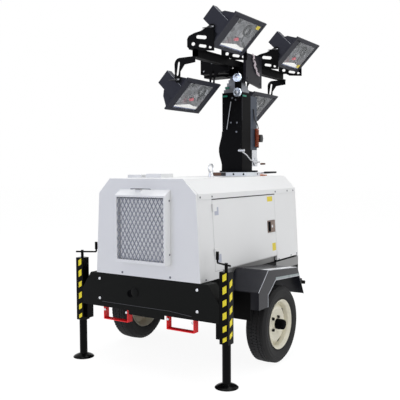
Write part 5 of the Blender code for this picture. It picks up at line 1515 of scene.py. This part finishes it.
@dataclass(frozen=True)
class Floodlight(Part):
    """One floodlight: its housing, its reflector, bulb and glass, and its stirrup's clamps.

    Its own frame has +X out of the glass and +Z up, and is turned by 45 degrees about +Y.
    """

    level: Level
    side: Side
    mast_y: float = 1.225
    spacing: float = 0.49
    tilt: float = 45.0
    open_half: float = 0.198
    open_high: float = 0.123
    # The reflector's section, with columns: back, up; and its sheet's thickness
    bowl: Table = ((0.010, 0.1150), (0.030, 0.1060), (0.060, 0.0860), (0.085, 0.0580), (0.097, 0.0200),
                   (0.097, -0.0200), (0.085, -0.0580), (0.060, -0.0860), (0.030, -0.1060), (0.010, -0.1150))
    sheet: float = 0.0012
    bowl_gap: float = 0.004
    # The blinds' back and face, and how high their upper strip starts
    blind_back: float = -0.0035
    blind_face: float = -0.0012
    blind_top: float = 0.112
    # Turned outlines, with columns: radius, height
    holder: Table = ((0.027, 0.0), (0.043, 0.002), (0.047, 0.008), (0.043, 0.014), (0.032, 0.016), (0.027, 0.010),
                     (0.027, 0.0))
    bulb: Table = ((0.0, -0.040), (0.011, -0.036), (0.017, -0.020), (0.019, 0.0), (0.017, 0.020), (0.011, 0.036),
                   (0.0, 0.040))
    bulb_cap: Table = ((0.0, -0.022), (0.009, -0.020), (0.012, -0.006), (0.012, 0.012), (0.0, 0.016))
    # Where the turned outlines stand, and the ways of their axes
    holder_place: Table = ((-0.052, 0.128, 0.030), (1, 0, 0.2))
    bulb_place: Table = ((-0.052, 0.108, -0.004), (0, 0.35, 0.9))
    bulb_cap_place: Table = ((-0.046, 0.080, -0.056), (0, 1.0, 0.35))
    # The holder's stem, both ends and the radius, and its small blocks, lowest and highest corners
    holder_stem: tuple = ((-0.048, 0.128, 0.0), (-0.040, 0.150, -0.060), 0.004)
    holder_blocks: Table = (((-0.030, -0.080, 0.070), (-0.018, -0.056, 0.100)),
                            ((-0.060, 0.062, -0.052), (-0.050, 0.118, -0.042)))
    # The painted highlight along the gear box's lit edge, a bar: both ends and the radius
    gear_box_edge: tuple = ((-0.1822, -0.2150, 0.0640), (-0.0140, -0.2150, 0.0640), 0.0012)
    # The strips of painted light on the reflector's lip, a painted highlight and a blue glow: where their faces are,
    # and how thick they are
    white_face: float = -0.0092
    blue_face: float = -0.0100
    strip: float = 0.0008
    label_back: float = -0.0038
    label_face: float = -0.0030
    # The stirrup's clamps: their y, a lever's run from its pivot and its radii, its hub's inner and outer reach
    # and radius, and its knob's two ends and radius
    clamp_y: float = 0.2375
    lever_run: Point = (-0.050, 0, -0.050)
    lever_radii: Point = (0.0040, 0.0030)
    hub_in: float = 0.004
    hub_out: float = 0.003
    hub_radius: float = 0.0095
    knob: tuple = ((0.004, 0, 0.004), (0.014, 0, 0.014), 0.0055)

    CENTRES: ClassVar[dict[Level, Point]] = {Level.UPPER: (0.278, 2.245), Level.LOWER: (-0.112, 1.84)}
    PIVOTS: ClassVar[dict[Level, Point]] = {Level.UPPER: (0.0785, -0.042), Level.LOWER: (0.058, 0.082)}
    # The widths of the dark blinds inside the glass at the -Y and the +Y side
    BLINDS: ClassVar[dict[Level, Point]] = {Level.UPPER: (0.066, 0.016), Level.LOWER: (0.050, 0.046)}
    # The blank label in the glass's corner, with columns: lowest y, lowest z, highest y, highest z
    LABELS: ClassVar[dict[str, Point]] = {"upper_l": (0.132, 0.080, 0.176, 0.108),
                                          "upper_r": (0.132, -0.108, 0.176, -0.078)}

    @property
    def name(self) -> str:
        """The end of the names of its nodes."""
        return f"{self.level.value}_{self.side.letter}"

    @property
    def place(self) -> Matrix:
        """The matrix of its own frame.

        Returns:
            The matrix that takes the lamp's own frame to the tower's.
        """
        x, z = self.CENTRES[self.level]
        centre = (x, self.mast_y + self.side.sign * self.spacing, z)
        return Matrix.Translation(centre) @ Matrix.Rotation(math.radians(self.tilt), 4, "Y")

    def build(self) -> None:
        """Show the floodlight."""
        tower, name = self.tower, self.name
        tower.adopt(f"lamp_housing_{name}", "lamp_grey", bevel=0.0018)
        tower.adopt(f"lamp_glass_{name}", "glass", bevel=0.0)
        tower.adopt(f"stirrup_{name}", "mast_black", bevel=0.0012)
        self._inside()
        self._outside()

    def _put(self, name: str, shape: Shape, finish: str, **more: object) -> None:
        """Add a piece that is written in the lamp's own frame.

        Args:
            name: the start of the piece's name.
            shape: its geometry, in the lamp's own frame.
            finish: a name in Finishes.
            more: what else Tower.put is told.
        """
        node = f"lamp_housing_{self.name}"
        self.tower.put(f"{name}_{self.name}", shape.move(self.place), finish, node, **more)

    def _inside(self) -> None:
        """The hammered reflector with its painted light, the painted-light strips on its lip, the blinds, the bulb and
        its dark holder.
        """
        half, wide, high = self.open_half - self.bowl_gap, self.open_half, self.open_high
        front = [(p.x, p.y) for p in smooth_path([(-b, u, 0) for b, u in self.bowl], 4)]
        back = [(x - self.sheet, z) for x, z in front]
        bowl = Shape().plate(Axis.Y, -half, half, front + back[::-1])
        for y in (-half, half - self.sheet):
            bowl.plate(Axis.Y, y, y + self.sheet, front)
        self._put("reflector", bowl, "reflector", angle=50)
        near, far = self.BLINDS[self.level]
        left, right = near - wide, wide - far
        blinds = Shape()
        for y_low, z_low, y_high in ((-wide, -high, left), (right, -high, wide), (-wide, self.blind_top, wide)):
            blinds.block((self.blind_back, y_low, z_low), (self.blind_face, y_high, high))
        self._put("blinds", blinds, "lamp_grey", bevel=0.0005)
        ring = Shape().lathe(self.holder, *self.holder_place, 40).blocks(self.holder_blocks)
        ring.bar(*self.holder_stem, 8)
        self._put("bulb_holder", ring, "dark", bevel=0.001)
        self._put("bulb", Shape().lathe(self.bulb, *self.bulb_place, 28), "bulb")
        self._put("bulb_cap", Shape().lathe(self.bulb_cap, *self.bulb_cap_place, 24), "bulb_end")
        for part, finish, face, loop in (
            ("white", "lip_white", self.white_face,
             ((left, -0.112), (right, -0.114), (right, -0.090), (right - 0.06, -0.088), (right - 0.12, -0.076),
              (left + 0.10, -0.088), (left, -0.104))),
            ("blue", "lip_blue", self.blue_face,
             ((left, -0.120), (right, -0.120), (right, -0.114), (left, -0.110))),
        ):
            self._put(f"reflector_lip_{part}", Shape().plate(Axis.X, face - self.strip, face, loop), finish)

    def _outside(self) -> None:
        """The blank yellow label in the glass's corner, the painted highlight on the gear box's edge, and the clamp
        levers.
        """
        if self.name in self.LABELS:
            y_low, z_low, y_high, z_high = self.LABELS[self.name]
            label = Shape().block((self.label_back, y_low, z_low), (self.label_face, y_high, z_high))
            self._put("glass_label", label, "label_yellow")
        self._put("gear_box_edge", Shape().bar(*self.gear_box_edge, 6), "fold_shine")
        back, up = self.PIVOTS[self.level]
        levers, knobs = Shape(), Shape()
        (root_radius, tip_radius), (near, far, knob_radius) = self.lever_radii, self.knob
        for way in (-1, 1):
            pivot = Vector((-back, way * self.clamp_y, up))
            levers.bar(pivot, pivot + Vector(self.lever_run), root_radius, 12, tip_radius)
            levers.bar(pivot - Vector((0, way * self.hub_in, 0)), pivot + Vector((0, way * self.hub_out, 0)),
                       self.hub_radius, 16)
            knobs.bar(pivot + Vector(near), pivot + Vector(far), knob_radius, 14)
        self._put("clamp_levers", levers, "plastic", slot="mast_steel")
        self._put("clamp_knobs", knobs, "bolt_grey", bevel=0.0015, slot="steel_zinc")


# Studio


@dataclass(frozen=True)
class Lamp:
    """A soft box of the studio: its place, what it points at, its size in metres, its power and its colour."""

    name: str
    place: tuple[float, float, float]
    aim: tuple[float, float, float]
    width: float
    height: float
    watts: float
    tint: str = "#FFFFFF"

    def switch_on(self) -> None:
        """Add it to the scene."""
        data = bpy.data.lights.new(self.name, "AREA")
        data.shape = "RECTANGLE"
        data.size, data.size_y = self.width, self.height
        data.energy = self.watts
        data.color = linear(self.tint)[:3]
        thing = bpy.data.objects.new(self.name, data)
        thing.location = self.place
        thing.rotation_euler = (Vector(self.aim) - Vector(self.place)).to_track_quat("-Z", "Y").to_euler()
        bpy.context.scene.collection.objects.link(thing)


@dataclass(frozen=True)
class Studio(Part):
    """The pale floor, the soft light and the camera."""

    # The camera in the tower's frame, as the photo's edges gave it: place, angles in degrees, and lens
    camera_place: Point = (2.479, -3.139, 1.316)
    azimuth: float = 33.26
    pitch: float = 2.94
    roll: float = 0.32
    focal_pixels: float = 625.8
    photo_width: float = 400.0
    sensor: float = 36.0
    # White paper: how much of its own shadow it keeps where it is seen, and how bright its lit part is
    floor_size: float = 60.0
    floor_colour: str = "#F2F2F2"
    shadow_share: float = 0.15
    paper_glow: float = 1.09
    ambient: float = 0.52
    lamps: tuple[Lamp, ...] = (
        Lamp("top_box", (0.2, -0.3, 5.2), (0.0, 0.0, 1.0), 4.5, 4.5, 160.0),
        Lamp("right_box", (5.5, -1.0, 2.4), (0.0, 0.0, 1.0), 3.0, 2.6, 44.0),
        Lamp("front_box", (-1.5, -6.0, 2.2), (0.0, 0.0, 1.0), 3.0, 2.4, 38.0, "#C6D0FF"),
    )

    def build(self) -> None:
        """Make the floor, the world, the lamps and the camera."""
        bpy.context.scene.view_settings.view_transform = "Standard"
        self._floor()
        self._world()
        for lamp in self.lamps:
            lamp.switch_on()
        self._camera()

    @staticmethod
    def _seen(tree: bpy.types.NodeTree) -> bpy.types.NodeSocket:
        """Tell what is seen from what only lights the scene.

        Args:
            tree: the node tree that asks.

        Returns:
            A socket with one where a ray comes from the camera, a reflection or through glass, and nought elsewhere.
        """
        path = add_node(tree, "ShaderNodeLightPath")
        first = add_node(tree, "ShaderNodeMath", {"operation": "MAXIMUM"},
                         {0: path.outputs["Is Camera Ray"], 1: path.outputs["Is Glossy Ray"]})
        return add_node(tree, "ShaderNodeMath", {"operation": "MAXIMUM"},
                        {0: first.outputs[0], 1: path.outputs["Is Transmission Ray"]}).outputs[0]

    def _floor(self) -> None:
        """A matt white paper floor that keeps the tower's soft shadow."""
        mesh = bpy.data.meshes.new("floor")
        half = self.floor_size / 2
        corners = [(-half, -half, 0), (half, -half, 0), (half, half, 0), (-half, half, 0)]
        mesh.from_pydata(corners, [], [(0, 1, 2, 3)])
        floor = bpy.data.objects.new("floor", mesh)
        bpy.context.scene.collection.objects.link(floor)
        material = bpy.data.materials.new("white_paper")
        material.use_nodes = True
        tree = material.node_tree
        tree.nodes.clear()
        paper = add_node(tree, "ShaderNodeBsdfDiffuse", {"Color": linear(self.floor_colour)})
        white = add_node(tree, "ShaderNodeEmission", {"Color": (1, 1, 1, 1), "Strength": self.paper_glow})
        share = add_node(tree, "ShaderNodeMath", {"operation": "MULTIPLY", 1: 1 - self.shadow_share},
                         {0: self._seen(tree)})
        mix = add_node(tree, "ShaderNodeMixShader", None,
                       {0: share.outputs[0], 1: paper.outputs[0], 2: white.outputs[0]})
        add_node(tree, "ShaderNodeOutputMaterial", None, {"Surface": mix.outputs[0]})
        mesh.materials.append(material)

    def _world(self) -> None:
        """White where it is seen, and a plain even light elsewhere."""
        world = bpy.data.worlds.new("studio")
        bpy.context.scene.world = world
        world.use_nodes = True
        tree = world.node_tree
        tree.nodes.clear()
        spread = add_node(tree, "ShaderNodeMapRange", {"To Min": self.ambient, "To Max": 1.0},
                          {"Value": self._seen(tree)})
        light = add_node(tree, "ShaderNodeBackground", {"Color": (1, 1, 1, 1)},
                         {"Strength": spread.outputs["Result"]})
        add_node(tree, "ShaderNodeOutputWorld", None, {"Surface": light.outputs[0]})

    def _camera(self) -> None:
        """The photo's viewpoint, found by fitting its edges."""
        turn, down, roll = (math.radians(a) for a in (self.azimuth, self.pitch, self.roll))
        ahead = Vector((-math.sin(turn) * math.cos(down), math.cos(turn) * math.cos(down), -math.sin(down)))
        right = Vector((math.cos(turn), math.sin(turn), 0))
        above = right.cross(ahead)
        rolled = right * math.cos(roll) - above * math.sin(roll)
        top = right * math.sin(roll) + above * math.cos(roll)
        data = bpy.data.cameras.new("camera")
        data.sensor_width = self.sensor
        data.lens = self.sensor * self.focal_pixels / self.photo_width
        thing = bpy.data.objects.new("camera", data)
        x, y, z = self.camera_place
        columns = (rolled, top, -ahead, Vector((x, y + self.tower.front_y, z)))
        thing.matrix_world = Matrix([[c[row] for c in columns] for row in range(3)]).to_4x4()
        bpy.context.scene.collection.objects.link(thing)
        bpy.context.scene.camera = thing


def main() -> None:
    """Build the whole scene."""
    logging.basicConfig(level=logging.INFO, format="%(name)s: %(message)s")
    tower = Tower()
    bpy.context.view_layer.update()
    Studio(tower).build()
    for part in (Canopy, Grille, Chassis, Fenders, Wheels, Jacks, Mast):
        part(tower).build()
    for level in Level:
        for side in Side:
            Floodlight(tower, level, side).build()
    for piece in tower.shown:
        LOG.info("%s", piece)


if __name__ == "__main__":
    main()
